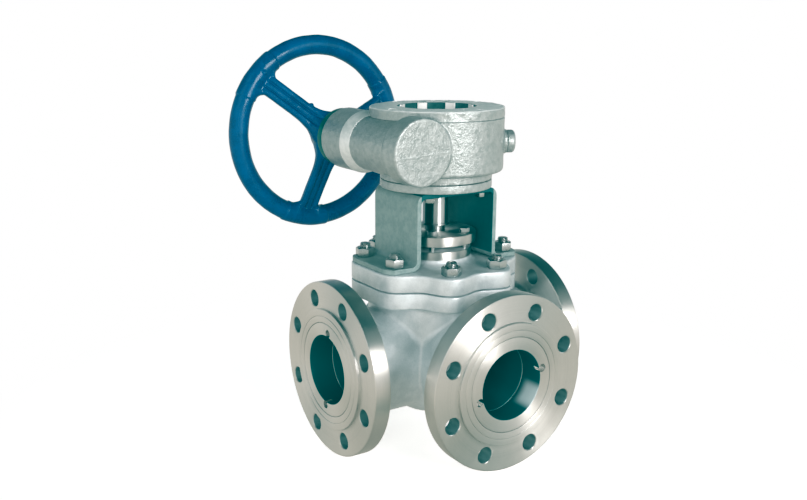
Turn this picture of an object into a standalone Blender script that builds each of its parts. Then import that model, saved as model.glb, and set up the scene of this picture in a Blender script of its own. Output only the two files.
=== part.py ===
"""Three-way flanged ball valve with a bolted bonnet, a bracket and a worm gear operator.

Metres, +Z up. The origin is the centre of the flat pad under the body, on the stem axis.
Ports point to -X, +X and -Y; the worm shaft is parallel to Y and carries the handwheel.
"""

import math

import bmesh
import bpy
from mathutils import Matrix, Vector

MM = 0.001
GAP = 0.3 * MM  # clearance left between pieces that touch

# Heights are measured from the port centre, which stands this far above the pad.
PORT_HEIGHT = 67.0 * MM

# Ports and flanges
FACE_TO_CENTRE = 143.0 * MM
RAISED_FACE = 3.0 * MM
RAISED_FACE_R = 67.5 * MM
FLANGE_R = 97.5 * MM
FLANGE_THICK = 19.0 * MM
FLANGE_EDGE = 1.2 * MM
BOLT_CIRCLE_R = 80.0 * MM
BOLT_HOLE_R = 9.0 * MM
BOLT_HOLES = 8
NECK_R = 59.5 * MM
NECK_FILLET = 7.0 * MM
PORT_THREAD_R = 52.8 * MM
PORT_THREAD_DEPTH = 24.0 * MM
SEAT_BORE_R = 50.3 * MM

# Bowl of the body
BOWL_R = 76.0 * MM
CHAMBER_R = 66.0 * MM
BLANK_END = 80.0 * MM
BLANK_POCKET = 61.0 * MM

# Lobed joint flange of body and bonnet
LOBE_R = 95.5 * MM
VALLEY_R = 82.5 * MM
SIDE_VALLEY_R = 90.5 * MM
BODY_FLANGE_LOW = 69.5 * MM
BODY_FLANGE_TOP = 87.3 * MM
BONNET_LOW = 88.9 * MM
BONNET_TOP = 107.7 * MM
STUD_CIRCLE_R = 80.0 * MM
STUDS = 8
STUD_R = 6.0 * MM
STUD_HOLE_R = 6.9 * MM
STUD_LOW = 72.5 * MM
STUD_PROUD = 5.0 * MM
NUT_FLATS = 19.0 * MM
NUT_HIGH = 10.0 * MM
SPIGOT_LOW = 78.0 * MM
BOSS_R = 41.0 * MM
BOSS_SKIRT_R = 47.0 * MM
BOSS_TOP = 123.4 * MM

# Stem, ball and seats
BALL_R = 64.0 * MM
BORE_R = 38.5 * MM
BALL_FLAT = 61.0 * MM
TONGUE_THICK = 14.0 * MM
TONGUE_LONG = 40.0 * MM
TONGUE_LOW = 46.0 * MM
STEM_R = 11.0 * MM
COLLAR_R = 22.0 * MM
COLLAR_LOW = 62.5 * MM
COLLAR_TOP = 74.0 * MM
SQUARE_LOW = 149.0 * MM
SQUARE_TOP = 194.0 * MM
SQUARE_SIDE = 15.0 * MM
SEAT_LIP_R = 44.0 * MM
SEAT_INNER_FRONT = 51.7 * MM
SEAT_LIP_FRONT = 47.6 * MM
SEAT_SHOULDER = 51.0 * MM
SEAT_BACK = 60.0 * MM
RETAINER_GROOVE = (113.2 * MM, 114.4 * MM)
RETAINER_GROOVE_DEEP = 0.8 * MM
RETAINER_HOLE_R = 4.5 * MM
RETAINER_HOLE_AT = 42.5 * MM
RETAINER_HOLE_DEEP = 9.0 * MM
RETAINER_HOLE_ANGLES = {"left": 85.0, "right": 0.0, "front": 105.0}

# Stuffing box
PACKING_R = 17.0 * MM
PACKING_LOW = 97.0 * MM
PACKING_TOP = 112.0 * MM
BUSH_SHOULDER = 124.0 * MM
BUSH_HEAD_R = 24.0 * MM
GLAND_LOW = 130.0 * MM
GLAND_TOP = 141.1 * MM
GLAND_R = 46.0 * MM
GLAND_BOLT_CIRCLE_R = 36.0 * MM
GLAND_BOLT_R = 3.0 * MM
GLAND_BOLT_FLATS = 10.0 * MM
GLAND_BOLT_ANGLES = (30, 140, 210, 320)

# Bracket
PLATE = 5.3 * MM
BRACKET_OUT = 53.3 * MM
BRACKET_FOOT = 89.5 * MM
BRACKET_HALF = 43.0 * MM
BRACKET_TOP = 191.0 * MM
BRACKET_BEND = 8.0 * MM
BRACKET_HOLE_R = 20.0 * MM
BRACKET_SCREW_CIRCLE_R = 50.0 * MM
BRACKET_SCREW_R = 3.0 * MM
BRACKET_SCREW_FLATS = 10.0 * MM
BRACKET_SCREW_HEAD = 5.0 * MM
BRACKET_SCREW_ANGLES = (43, 137, 223, 317)

# Gearbox
DISC_R = 62.3 * MM
MOUNTING_DISC_LOW = 191.3 * MM
HOUSING_LOW = 200.7 * MM
DRUM_LOW = 209.8 * MM
DRUM_R = 74.2 * MM
COVER_LOW = 268.0 * MM
COVER_TOP = 279.3 * MM
COVER_OPENING_R = 43.0 * MM
COVER_SCREW_CIRCLE_R = 66.0 * MM
COVER_SCREW_R = 3.0 * MM
COVER_SCREW_HEAD_R = 5.0 * MM
COVER_SCREW_ANGLES = (10, 100, 190, 280)
GEAR_ROOM_R = 60.0 * MM
GEAR_ROOM_LOW = 218.0 * MM
SLEEVE_R = 14.4 * MM
SLEEVE_LOW = 147.4 * MM
SLEEVE_TOP = 262.0 * MM
SLEEVE_COLLAR_R = 15.6 * MM
SLEEVE_COLLAR_TOP = 149.6 * MM
STOP_BOSS_R = 13.2 * MM
STOP_BOSS_START = 50.0 * MM
STOP_BOSS_END = 78.0 * MM
STOP_SCREW_R = 6.0 * MM
STOP_SCREW_HEAD_R = 12.6 * MM
STOP_SCREW_DOME = 3.5 * MM
STOP_SCREW_END = 87.0 * MM
STOP_SCREW_TIP = 64.0 * MM
STOP_ANGLES = {"stop_screw_open": -28.0, "stop_screw_closed": 62.0}

# Worm pair: the wheel turns with the stem, the worm with the handwheel
WORM_X = -64.0 * MM
WORM_Z = 239.5 * MM
WHEEL_TEETH = 40
WHEEL_PITCH_R = 50.0 * MM
WORM_LEAD = 2 * math.pi * WHEEL_PITCH_R / WHEEL_TEETH
ADDENDUM = 2.3 * MM
DEDENDUM = 2.9 * MM
TOOTH_THICK = 3.0 * MM
PRESSURE_TAN = math.tan(math.radians(20))
WHEEL_HALF = 8.0 * MM
WHEEL_HUB_R = 24.0 * MM
WHEEL_HUB_LOW = 222.0 * MM
WHEEL_HUB_TOP = 257.0 * MM
WORM_PITCH_R = abs(WORM_X) - WHEEL_PITCH_R
WORM_HALF = 24.0 * MM
KEY_WIDE = 5.0 * MM
KEY_PROUD = 2.0 * MM

# Worm tube, along Y
TUBE_FRONT = -68.9 * MM
TUBE_FRONT_R = 35.5 * MM
TUBE_R = 30.0 * MM
TUBE_WAIST = (-36.0 * MM, 28.6 * MM)
TUBE_BOSS_BACK = -45.0 * MM
SOCKET_START = 44.4 * MM
SOCKET_END = 86.5 * MM
SOCKET_R = 34.3 * MM
TUBE_BORE_R = 19.0 * MM
TUBE_BORE_FRONT = -58.0 * MM
SHAFT_R = 10.0 * MM
BUSH_LONG = 18.0 * MM
SEAL_R = 33.0 * MM
SEAL_LONG = 4.2 * MM
SEAL_CUP_R = 23.2 * MM
SEAL_CUP_END = 98.0 * MM

# Handwheel
RIM_PLANE = 159.3 * MM
RIM_R = 102.2 * MM
RIM_SECTION_R = 11.5 * MM
HUB_FRONT = 91.3 * MM
HUB_BACK = 138.0 * MM
HUB_R = 21.0 * MM
SPOKE_WIDE_HUB = 30.0 * MM
SPOKE_WIDE_RIM = 20.0 * MM
SPOKE_THICK = 11.0 * MM
SPOKE_ANGLES = (18.7, 138.7, 258.7)
WHEEL_SEAT_R = 8.0 * MM
SHAFT_END = 153.0 * MM
WHEEL_NUT_FLATS = 24.0 * MM
WHEEL_NUT_HIGH = 9.0 * MM

# Facets around a full turn
BIG = 32
MID = 20
SMALL = 8
HOLE = 8
WORM_STEPS = 24

# Small turns in degrees that keep the facets of crossing round shapes from lining up
FACET_TURN = {
    "branch": 3.1,
    "bowl": 2.3,
    "blank": 1.7,
    "chamber": 1.3,
    "cross_bore": 2.9,
    "ball": 2.1,
    "side_bore": 2.7,
}

# The exact solver leaves open edges in the body and the housing, so those two use this one.
MANY_CUTS = "MANIFOLD"

# Materials: colour, roughness, metallic
FINISHES = {
    "blasted_steel": ((0.58, 0.62, 0.64), 0.45, 0.85),
    "turned_steel": ((0.62, 0.60, 0.55), 0.28, 1.0),
    "gear_paint": ((0.38, 0.45, 0.43), 0.55, 0.1),
    "bracket_paint": ((0.22, 0.30, 0.28), 0.6, 0.1),
    "blue_paint": ((0.0, 0.10, 0.30), 0.2, 0.0),
    "ptfe": ((0.85, 0.85, 0.82), 0.5, 0.0),
    "graphite": ((0.06, 0.06, 0.06), 0.6, 0.2),
    "bronze": ((0.50, 0.30, 0.10), 0.35, 1.0),
    "seal_rubber": ((0.01, 0.06, 0.05), 0.6, 0.0),
}


def clear_scene():
    for obj in list(bpy.data.objects):
        bpy.data.objects.remove(obj, do_unlink=True)


def finish(name):
    """The material of this name, made the first time it is asked for."""
    if name in bpy.data.materials:
        return bpy.data.materials[name]
    colour, roughness, metallic = FINISHES[name]
    material = bpy.data.materials.new(name)
    material.use_nodes = True
    shader = material.node_tree.nodes["Principled BSDF"]
    shader.inputs["Base Color"].default_value = (*colour, 1.0)
    shader.inputs["Roughness"].default_value = roughness
    shader.inputs["Metallic"].default_value = metallic
    return material


def empty(name, location, parent=None):
    made = bpy.data.objects.new(name, None)
    made.location = location
    made.parent = parent
    bpy.context.collection.objects.link(made)
    return made


def add_object(name, mesh, material, parent, location=(0, 0, 0), rotation=(0, 0, 0)):
    obj = bpy.data.objects.new(name, mesh)
    obj.parent = parent
    obj.location = location
    obj.rotation_euler = rotation
    bpy.context.collection.objects.link(obj)
    if material and not mesh.materials:
        mesh.materials.append(finish(material))
    return obj


def mesh_from(bm, name):
    """Turns a bmesh into a mesh with outward normals and smooth round sides."""
    bmesh.ops.recalc_face_normals(bm, faces=bm.faces)
    mesh = bpy.data.meshes.new(name)
    bm.to_mesh(mesh)
    bm.free()
    mesh.shade_smooth()
    mesh.set_sharp_from_angle(angle=math.radians(30))
    return mesh


def add_lathe(bm, profile, steps, turn=None):
    """Spins a profile of (radius, height) points about Z, then applies the turn matrix.

    A profile with both ends on the axis makes a solid; any other profile is closed into a ring.
    """
    verts = [bm.verts.new((radius, 0, height)) for radius, height in profile]
    edges = [bm.edges.new(pair) for pair in zip(verts, verts[1:])]
    if profile[0][0] > 0:
        edges.append(bm.edges.new((verts[-1], verts[0])))
    before = set(bm.verts) - set(verts)
    bmesh.ops.spin(
        bm,
        geom=verts + edges,
        cent=(0, 0, 0),
        axis=(0, 0, 1),
        angle=2 * math.pi,
        steps=steps,
        use_merge=True,
    )
    made = [v for v in bm.verts if v not in before]
    bmesh.ops.remove_doubles(bm, verts=made, dist=1e-6)
    if turn:
        made = [v for v in bm.verts if v not in before]
        bmesh.ops.transform(bm, matrix=turn, verts=made)


def lathe_mesh(name, profile, steps, turn=None):
    bm = bmesh.new()
    add_lathe(bm, profile, steps, turn)
    return mesh_from(bm, name)


def rod(radius, low, high):
    """Profile of a plain cylinder."""
    return [(0, low), (radius, low), (radius, high), (0, high)]


def tube(inner, outer, low, high):
    """Profile of a plain ring."""
    return [(inner, low), (outer, low), (outer, high), (inner, high)]


def add_prism(bm, outline, low, high, turn=None):
    """Extrudes a closed outline of (x, y) points from one height to another."""
    face = bm.faces.new([bm.verts.new((x, y, low)) for x, y in outline])
    grown = bmesh.ops.extrude_face_region(bm, geom=[face])["geom"]
    top = [item for item in grown if isinstance(item, bmesh.types.BMVert)]
    bmesh.ops.translate(bm, vec=(0, 0, high - low), verts=top)
    if turn:
        bmesh.ops.transform(bm, matrix=turn, verts=list(face.verts) + top)


def prism_mesh(name, outline, low, high, turn=None):
    bm = bmesh.new()
    add_prism(bm, outline, low, high, turn)
    return mesh_from(bm, name)


def hexagon(flats):
    corner = flats / math.sqrt(3)
    angles = [math.radians(60 * i) for i in range(6)]
    return [(corner * math.cos(a), corner * math.sin(a)) for a in angles]


def rectangle(wide, deep):
    x, y = wide / 2, deep / 2
    return [(-x, -y), (x, -y), (x, y), (-x, y)]


def arc(centre, radius, start, end, steps):
    """Points on an arc, angles in degrees."""
    angles = [math.radians(start + (end - start) * i / steps) for i in range(steps + 1)]
    return [(centre[0] + radius * math.cos(a), centre[1] + radius * math.sin(a)) for a in angles]


def around(radius, angle):
    """Place on a circle, with the angle in degrees counted from -Y towards +X."""
    a = math.radians(angle)
    return Vector((radius * math.sin(a), -radius * math.cos(a), 0))


def cutter(name, mesh, parent):
    """A guide shape that Booleans use and the model leaves out."""
    obj = add_object(name, mesh, None, parent)
    obj.hide_render = True
    obj.display_type = "WIRE"
    return obj


def boolean(target, other, operation, solver="EXACT"):
    modifier = target.modifiers.new(other.name, "BOOLEAN")
    modifier.object = other
    modifier.operation = operation
    modifier.solver = solver


TO_LEFT = Matrix.Rotation(math.radians(-90), 4, "Y")
TO_RIGHT = Matrix.Rotation(math.radians(90), 4, "Y")
TO_FRONT = Matrix.Rotation(math.radians(90), 4, "X")
TO_REAR = Matrix.Rotation(math.radians(-90), 4, "X")


def facet_shift(name):
    return Matrix.Rotation(math.radians(FACET_TURN[name]), 4, "Z")


PORTS = {"left": TO_LEFT, "right": TO_RIGHT, "front": TO_FRONT}


def lobed_outline(inset=0.0):
    """Outline shared by the body's joint flange and the bonnet: a lobe around each stud."""
    points = []
    count = STUDS * 6
    for i in range(count):
        angle = 360.0 * i / count
        on_side = abs((angle % 180) - 90) < 22.5
        valley = SIDE_VALLEY_R if on_side else VALLEY_R
        lobe = 0.5 - 0.5 * math.cos(math.radians(STUDS * angle))
        place = around(valley + (LOBE_R - valley) * lobe - inset, angle)
        points.append((place.x, place.y))
    return points


def stud_places():
    return [around(STUD_CIRCLE_R, 22.5 + 45 * i) for i in range(STUDS)]


def under_foot(place):
    """True where a stud passes through a foot of the bracket."""
    return abs(place.x) > BRACKET_OUT


def clearing(radius):
    """Corner radius of a faceted hole whose flats stand this far from its axis."""
    return radius / math.cos(math.pi / HOLE)


def hole_cutters(name, places, radius, low, high, parent, turn=None):
    """One guide made of a plain cylinder at each place."""
    bm = bmesh.new()
    for place in places:
        shift = Matrix.Translation(place)
        shape = rod(clearing(radius), low, high)
        add_lathe(bm, shape, HOLE, (turn @ shift) if turn else shift)
    return cutter(name, mesh_from(bm, name), parent)


# Body ----------------------------------------------------------------------------------


def flange_half():
    """Outer profile of a neck and its flange, from the neck to the port's axis."""
    back = FACE_TO_CENTRE - RAISED_FACE - FLANGE_THICK
    face = FACE_TO_CENTRE - RAISED_FACE
    fillet = arc((NECK_R + NECK_FILLET, back - NECK_FILLET), NECK_FILLET, 180, 90, 2)
    return [
        *fillet,
        (FLANGE_R, back),
        (FLANGE_R, face - FLANGE_EDGE),
        (FLANGE_R - FLANGE_EDGE, face),
        (RAISED_FACE_R, face),
        (RAISED_FACE_R, FACE_TO_CENTRE),
        (0, FACE_TO_CENTRE),
    ]


def run_mesh():
    """The straight run: both flanged ends on one axis."""
    half = flange_half()
    mirrored = [(radius, -height) for radius, height in reversed(half)]
    return lathe_mesh("run", mirrored + half, BIG, TO_RIGHT)


def branch_mesh():
    start = 5 * MM
    profile = [(0, start), (NECK_R, start), *flange_half()]
    return lathe_mesh("branch", profile, BIG, TO_FRONT @ facet_shift("branch"))


def bowl_mesh():
    """Upright barrel with a spherical bottom, cut flat at the pad."""
    pad_angle = -math.degrees(math.asin(PORT_HEIGHT / BOWL_R))
    profile = [(0, -PORT_HEIGHT), *arc((0, 0), BOWL_R, pad_angle, 0, 4)]
    top = BODY_FLANGE_LOW + 5 * MM
    return lathe_mesh("bowl", profile + [(BOWL_R, top), (0, top)], BIG, facet_shift("bowl"))


def blank_mesh():
    """Closed rear boss that holds the blind seat."""
    edge = 5 * MM
    profile = [
        (0, 8 * MM),
        (NECK_R - 0.4 * MM, 8 * MM),
        *arc((NECK_R - 0.4 * MM - edge, BLANK_END - edge), edge, 0, 90, 2),
        (0, BLANK_END),
    ]
    return lathe_mesh("blank", profile, BIG, TO_REAR @ facet_shift("blank"))


def chamber_mesh():
    """Room for the ball, open at the top."""
    top = BODY_FLANGE_TOP + 10 * MM
    profile = [*arc((0, 0), CHAMBER_R, -90, 0, 4), (CHAMBER_R, top), (0, top)]
    profile[0] = (0, -CHAMBER_R)
    return lathe_mesh("chamber", profile, BIG, facet_shift("chamber"))


def run_bore_mesh():
    """Stepped bore through the straight run."""
    half = port_bore_half()
    mirrored = [(radius, -height) for radius, height in reversed(half)]
    return lathe_mesh("run_bore", mirrored + half, BIG, TO_RIGHT)


def cross_bore_mesh():
    """Stepped bore of the branch, carried on into the blind pocket of the rear seat."""
    pocket = [(0, -BLANK_POCKET), (SEAT_BORE_R, -BLANK_POCKET)]
    turn = TO_FRONT @ facet_shift("cross_bore")
    return lathe_mesh("cross_bore", pocket + port_bore_half(), BIG, turn)


def port_bore_half():
    """Profile of a port's bore, from the seat to beyond the face."""
    far = FACE_TO_CENTRE + 5 * MM
    step = FACE_TO_CENTRE - PORT_THREAD_DEPTH
    return [(SEAT_BORE_R, step), (PORT_THREAD_R, step), (PORT_THREAD_R, far), (0, far)]


def build_body(root):
    body = add_object("valve_body", run_mesh(), "blasted_steel", root)
    flange = prism_mesh("joint_flange", lobed_outline(), BODY_FLANGE_LOW, BODY_FLANGE_TOP)
    added = {
        "branch_shape": branch_mesh(),
        "bowl_shape": bowl_mesh(),
        "blank_shape": blank_mesh(),
        "joint_flange_shape": flange,
    }
    for name, mesh in added.items():
        boolean(body, cutter(name, mesh, root), "UNION", MANY_CUTS)
    removed = {
        "chamber_cut": chamber_mesh(),
        "run_bore_cut": run_bore_mesh(),
        "cross_bore_cut": cross_bore_mesh(),
        "flange_bolts_cut": flange_bolts_mesh(),
    }
    for name, mesh in removed.items():
        boolean(body, cutter(name, mesh, root), "DIFFERENCE", MANY_CUTS)
    studs = hole_cutters(
        "body_studs_cut",
        stud_places(),
        STUD_R + GAP,
        STUD_LOW - GAP,
        BODY_FLANGE_TOP + 5 * MM,
        root,
    )
    boolean(body, studs, "DIFFERENCE", MANY_CUTS)


def flange_bolts_mesh():
    """Bolt holes of all three flanges, straddling the centre lines."""
    bm = bmesh.new()
    back = FACE_TO_CENTRE - RAISED_FACE - FLANGE_THICK - 2 * MM
    for turn in PORTS.values():
        for i in range(BOLT_HOLES):
            place = around(BOLT_CIRCLE_R, 360 / BOLT_HOLES * (i + 0.5))
            shape = rod(BOLT_HOLE_R, back, FACE_TO_CENTRE + 2 * MM)
            add_lathe(bm, shape, SMALL, turn @ Matrix.Translation(place))
    return mesh_from(bm, "flange_bolts")


# Ball, seats and retainers -----------------------------------------------------------------


def build_ball(stem_axis):
    """Ball with a T-shaped passage and a slot for the stem's tongue."""
    flat = math.degrees(math.asin(BALL_FLAT / BALL_R))
    profile = [*arc((0, 0), BALL_R, -90, flat, 6), (0, BALL_FLAT)]
    profile[0] = (0, -BALL_R)
    mesh = lathe_mesh("ball", profile, MID, facet_shift("ball"))
    ball = add_object("ball", mesh, "turned_steel", stem_axis)
    far = BALL_R + 5 * MM
    through = lathe_mesh("through_bore", rod(BORE_R, -far, far), MID, TO_RIGHT)
    side = lathe_mesh("side_bore", rod(BORE_R, 5 * MM, far), MID, TO_FRONT @ facet_shift("side_bore"))
    slot = prism_mesh(
        "ball_slot",
        rectangle(TONGUE_THICK + 2 * GAP, TONGUE_LONG + 10 * MM),
        TONGUE_LOW - GAP,
        BALL_R,
    )
    boolean(ball, cutter("through_bore_cut", through, stem_axis), "DIFFERENCE")
    boolean(ball, cutter("side_bore_cut", side, stem_axis), "DIFFERENCE")
    boolean(ball, cutter("ball_slot_cut", slot, stem_axis), "DIFFERENCE")


def build_seats(root):
    """Four soft seats: one at each port and one behind, each with a cone towards the ball."""
    outer = SEAT_BORE_R - GAP
    profile = [
        (BORE_R, SEAT_INNER_FRONT),
        (SEAT_LIP_R, SEAT_LIP_FRONT),
        (SEAT_LIP_R, SEAT_SHOULDER),
        (outer, SEAT_SHOULDER),
        (outer, SEAT_BACK),
        (BORE_R, SEAT_BACK),
    ]
    for side, turn in {**PORTS, "rear": TO_REAR}.items():
        add_object(f"seat_{side}", lathe_mesh("seat", profile, MID, turn), "ptfe", root)


def build_retainers(root):
    """Threaded ring in each port that presses the seat.

    Its bore has a groove, and two spanner holes in its face break into the bore.
    """
    step = FACE_TO_CENTRE - PORT_THREAD_DEPTH + GAP
    profile = [
        (BORE_R, SEAT_BACK + GAP),
        (SEAT_BORE_R - GAP, SEAT_BACK + GAP),
        (SEAT_BORE_R - GAP, step),
        (PORT_THREAD_R - GAP, step),
        (PORT_THREAD_R - GAP, FACE_TO_CENTRE),
        (BORE_R, FACE_TO_CENTRE),
        (BORE_R, RETAINER_GROOVE[1]),
        (BORE_R + RETAINER_GROOVE_DEEP, RETAINER_GROOVE[1]),
        (BORE_R + RETAINER_GROOVE_DEEP, RETAINER_GROOVE[0]),
        (BORE_R, RETAINER_GROOVE[0]),
    ]
    for side, turn in PORTS.items():
        mesh = lathe_mesh("retainer", profile, BIG, turn)
        ring = add_object(f"seat_retainer_{side}", mesh, "turned_steel", root)
        first = RETAINER_HOLE_ANGLES[side]
        places = [around(RETAINER_HOLE_AT, first), around(RETAINER_HOLE_AT, first + 180)]
        low = FACE_TO_CENTRE - RETAINER_HOLE_DEEP
        high = FACE_TO_CENTRE + 3 * MM
        holes = hole_cutters(
            f"spanner_{side}_cut", places, RETAINER_HOLE_R, low, high, root, turn
        )
        boolean(ring, holes, "DIFFERENCE")


# Bonnet ----------------------------------------------------------------------------------


def build_bonnet(root):
    plate = prism_mesh("bonnet", lobed_outline(), BONNET_LOW, BONNET_TOP)
    bonnet = add_object("bonnet", plate, "blasted_steel", root)
    core = [
        (0, SPIGOT_LOW),
        (CHAMBER_R - GAP, SPIGOT_LOW),
        (CHAMBER_R - GAP, BONNET_LOW + 4 * MM),
        (BOSS_SKIRT_R, BONNET_TOP - 2 * MM),
        (BOSS_SKIRT_R, BONNET_TOP + 0.5 * MM),
        (BOSS_R, BONNET_TOP + 4.5 * MM),
        (BOSS_R, BOSS_TOP),
        (0, BOSS_TOP),
    ]
    boolean(bonnet, cutter("bonnet_core", lathe_mesh("core", core, BIG), root), "UNION")
    bore = [
        (0, SPIGOT_LOW - 5 * MM),
        (STEM_R + GAP, SPIGOT_LOW - 5 * MM),
        (STEM_R + GAP, PACKING_LOW),
        (PACKING_R, PACKING_LOW),
        (PACKING_R, BOSS_TOP + 5 * MM),
        (0, BOSS_TOP + 5 * MM),
    ]
    boolean(bonnet, cutter("bonnet_bore", lathe_mesh("bore", bore, MID), root), "DIFFERENCE")
    studs = hole_cutters(
        "bonnet_studs_cut",
        stud_places(),
        STUD_HOLE_R,
        BONNET_LOW - 2 * MM,
        BONNET_TOP + 2 * MM,
        root,
    )
    boolean(bonnet, studs, "DIFFERENCE")
    gland = hole_cutters(
        "gland_taps_cut",
        [around(GLAND_BOLT_CIRCLE_R, a) for a in GLAND_BOLT_ANGLES],
        GLAND_BOLT_R + GAP,
        BONNET_TOP - 3 * MM,
        BOSS_TOP + 2 * MM,
        root,
    )
    boolean(bonnet, gland, "DIFFERENCE")


def build_gasket(root):
    low = BODY_FLANGE_TOP + GAP
    high = BONNET_LOW - GAP
    shape = tube(CHAMBER_R + 1.5 * MM, STUD_CIRCLE_R - STUD_HOLE_R - MM, low, high)
    add_object("bonnet_gasket", lathe_mesh("gasket", shape, BIG), "graphite", root)


def build_studs(root):
    """Eight studs in the body, each with a nut on the bonnet or on a foot of the bracket."""
    nut_bore = STUD_R + GAP
    for i, place in enumerate(stud_places(), 1):
        seat = BONNET_TOP + GAP
        if under_foot(place):
            seat += PLATE + GAP
        top = seat + NUT_HIGH + STUD_PROUD
        shank = lathe_mesh("stud", rod(STUD_R, STUD_LOW, top), HOLE)
        add_object(f"bonnet_stud_{i}", shank, "turned_steel", root, place)
        nut = hex_nut(NUT_FLATS, nut_bore, NUT_HIGH)
        add_object(f"bonnet_nut_{i}", nut, "turned_steel", root, place + Vector((0, 0, seat)))


def hex_nut(flats, bore, high):
    """Hexagonal ring with its bore, standing on z = 0."""
    bm = bmesh.new()
    outer = hexagon(flats)
    count = 2 * len(outer)
    inner = [(bore * math.cos(a), bore * math.sin(a)) for a in turns(count)]
    rings = []
    for z in (0.0, high):
        rings.append([bm.verts.new((x, y, z)) for x, y in outer])
        rings.append([bm.verts.new((x, y, z)) for x, y in inner])
    low_out, low_in, top_out, top_in = rings
    for i in range(6):
        j = (i + 1) % 6
        bm.faces.new((low_out[i], low_out[j], top_out[j], top_out[i]))
        for side_out, side_in in ((low_out, low_in), (top_out, top_in)):
            a, b, c = 2 * i, 2 * i + 1, (2 * i + 2) % count
            bm.faces.new((side_out[i], side_out[j], side_in[c], side_in[b], side_in[a]))
    for i in range(count):
        j = (i + 1) % count
        bm.faces.new((low_in[i], low_in[j], top_in[j], top_in[i]))
    return mesh_from(bm, "nut")


def turns(count):
    return [2 * math.pi * i / count for i in range(count)]


# Stem and stuffing box -----------------------------------------------------------------------


def build_stem(stem_axis):
    """Stem with a collar, a tongue for the ball and a square for the drive sleeve."""
    profile = [
        (0, COLLAR_LOW),
        (COLLAR_R, COLLAR_LOW),
        (COLLAR_R, COLLAR_TOP),
        (STEM_R, COLLAR_TOP),
        (STEM_R, SQUARE_LOW),
        (0, SQUARE_LOW),
    ]
    stem = add_object("stem", lathe_mesh("stem", profile, MID), "turned_steel", stem_axis)
    tongue = prism_mesh(
        "tongue", rectangle(TONGUE_THICK, TONGUE_LONG), TONGUE_LOW, COLLAR_LOW + 3 * MM
    )
    square = prism_mesh(
        "square", rectangle(SQUARE_SIDE, SQUARE_SIDE), SQUARE_LOW - 3 * MM, SQUARE_TOP
    )
    boolean(stem, cutter("tongue_shape", tongue, stem_axis), "UNION")
    boolean(stem, cutter("square_shape", square, stem_axis), "UNION")


def build_stuffing_box(root):
    washer = tube(STEM_R + GAP, COLLAR_R, COLLAR_TOP + GAP, SPIGOT_LOW - GAP)
    add_object("stem_thrust_washer", lathe_mesh("washer", washer, MID), "ptfe", root)
    packing = tube(STEM_R + GAP, PACKING_R - GAP, PACKING_LOW + GAP, PACKING_TOP)
    add_object("stem_packing", lathe_mesh("packing", packing, MID), "ptfe", root)
    bush = [
        (STEM_R + GAP, PACKING_TOP + GAP),
        (PACKING_R - GAP, PACKING_TOP + GAP),
        (PACKING_R - GAP, BUSH_SHOULDER),
        (BUSH_HEAD_R, BUSH_SHOULDER),
        (BUSH_HEAD_R, GLAND_LOW - GAP),
        (STEM_R + GAP, GLAND_LOW - GAP),
    ]
    add_object("gland_bush", lathe_mesh("gland_bush", bush, MID), "turned_steel", root)
    ring = tube(STEM_R + GAP, GLAND_R, GLAND_LOW, GLAND_TOP)
    gland = add_object("gland_flange", lathe_mesh("gland", ring, BIG), "turned_steel", root)
    places = [around(GLAND_BOLT_CIRCLE_R, a) for a in GLAND_BOLT_ANGLES]
    holes = hole_cutters(
        "gland_holes_cut",
        places,
        GLAND_BOLT_R + 0.5 * MM,
        GLAND_LOW - 2 * MM,
        GLAND_TOP + 2 * MM,
        root,
    )
    boolean(gland, holes, "DIFFERENCE")
    for i, place in enumerate(places, 1):
        shape = bolt_mesh(
            GLAND_BOLT_R, BONNET_TOP - 2 * MM, GLAND_TOP + GAP, GLAND_BOLT_FLATS, 5.5 * MM
        )
        add_object(f"gland_bolt_{i}", shape, "turned_steel", root, place)


def bolt_mesh(radius, low, seat, flats, head):
    """Hexagon-head bolt along Z: the shank runs from low to seat, the head sits above it."""
    bm = bmesh.new()
    outline = hexagon(flats)
    base = [bm.verts.new((x, y, seat)) for x, y in outline]
    top = [bm.verts.new((x, y, seat + head)) for x, y in outline]
    neck = [bm.verts.new((radius * math.cos(a), radius * math.sin(a), seat)) for a in turns(12)]
    tip = [bm.verts.new((v.co.x, v.co.y, low)) for v in neck]
    bm.faces.new(top)
    bm.faces.new(tip)
    for i in range(6):
        j = (i + 1) % 6
        bm.faces.new((base[i], base[j], top[j], top[i]))
        a, b, c = 2 * i, 2 * i + 1, (2 * i + 2) % 12
        bm.faces.new((base[i], base[j], neck[c], neck[b], neck[a]))
    for i in range(12):
        j = (i + 1) % 12
        bm.faces.new((neck[i], neck[j], tip[j], tip[i]))
    return mesh_from(bm, "bolt")


# Bracket ----------------------------------------------------------------------------------


def bracket_side(offset):
    """One side of the folded plate in (x, z), offset from its middle surface, from +X to -X."""
    foot = BONNET_TOP + GAP + PLATE / 2
    top = BRACKET_TOP - PLATE / 2
    wall = BRACKET_OUT - PLATE / 2
    bend = BRACKET_BEND
    half = [
        (BRACKET_FOOT, foot + offset),
        *arc((wall + bend, foot + bend), bend - offset, 270, 180, 3),
        *arc((wall - bend, top - bend), bend + offset, 0, 90, 3),
    ]
    return half + [(-x, z) for x, z in reversed(half)]


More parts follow.
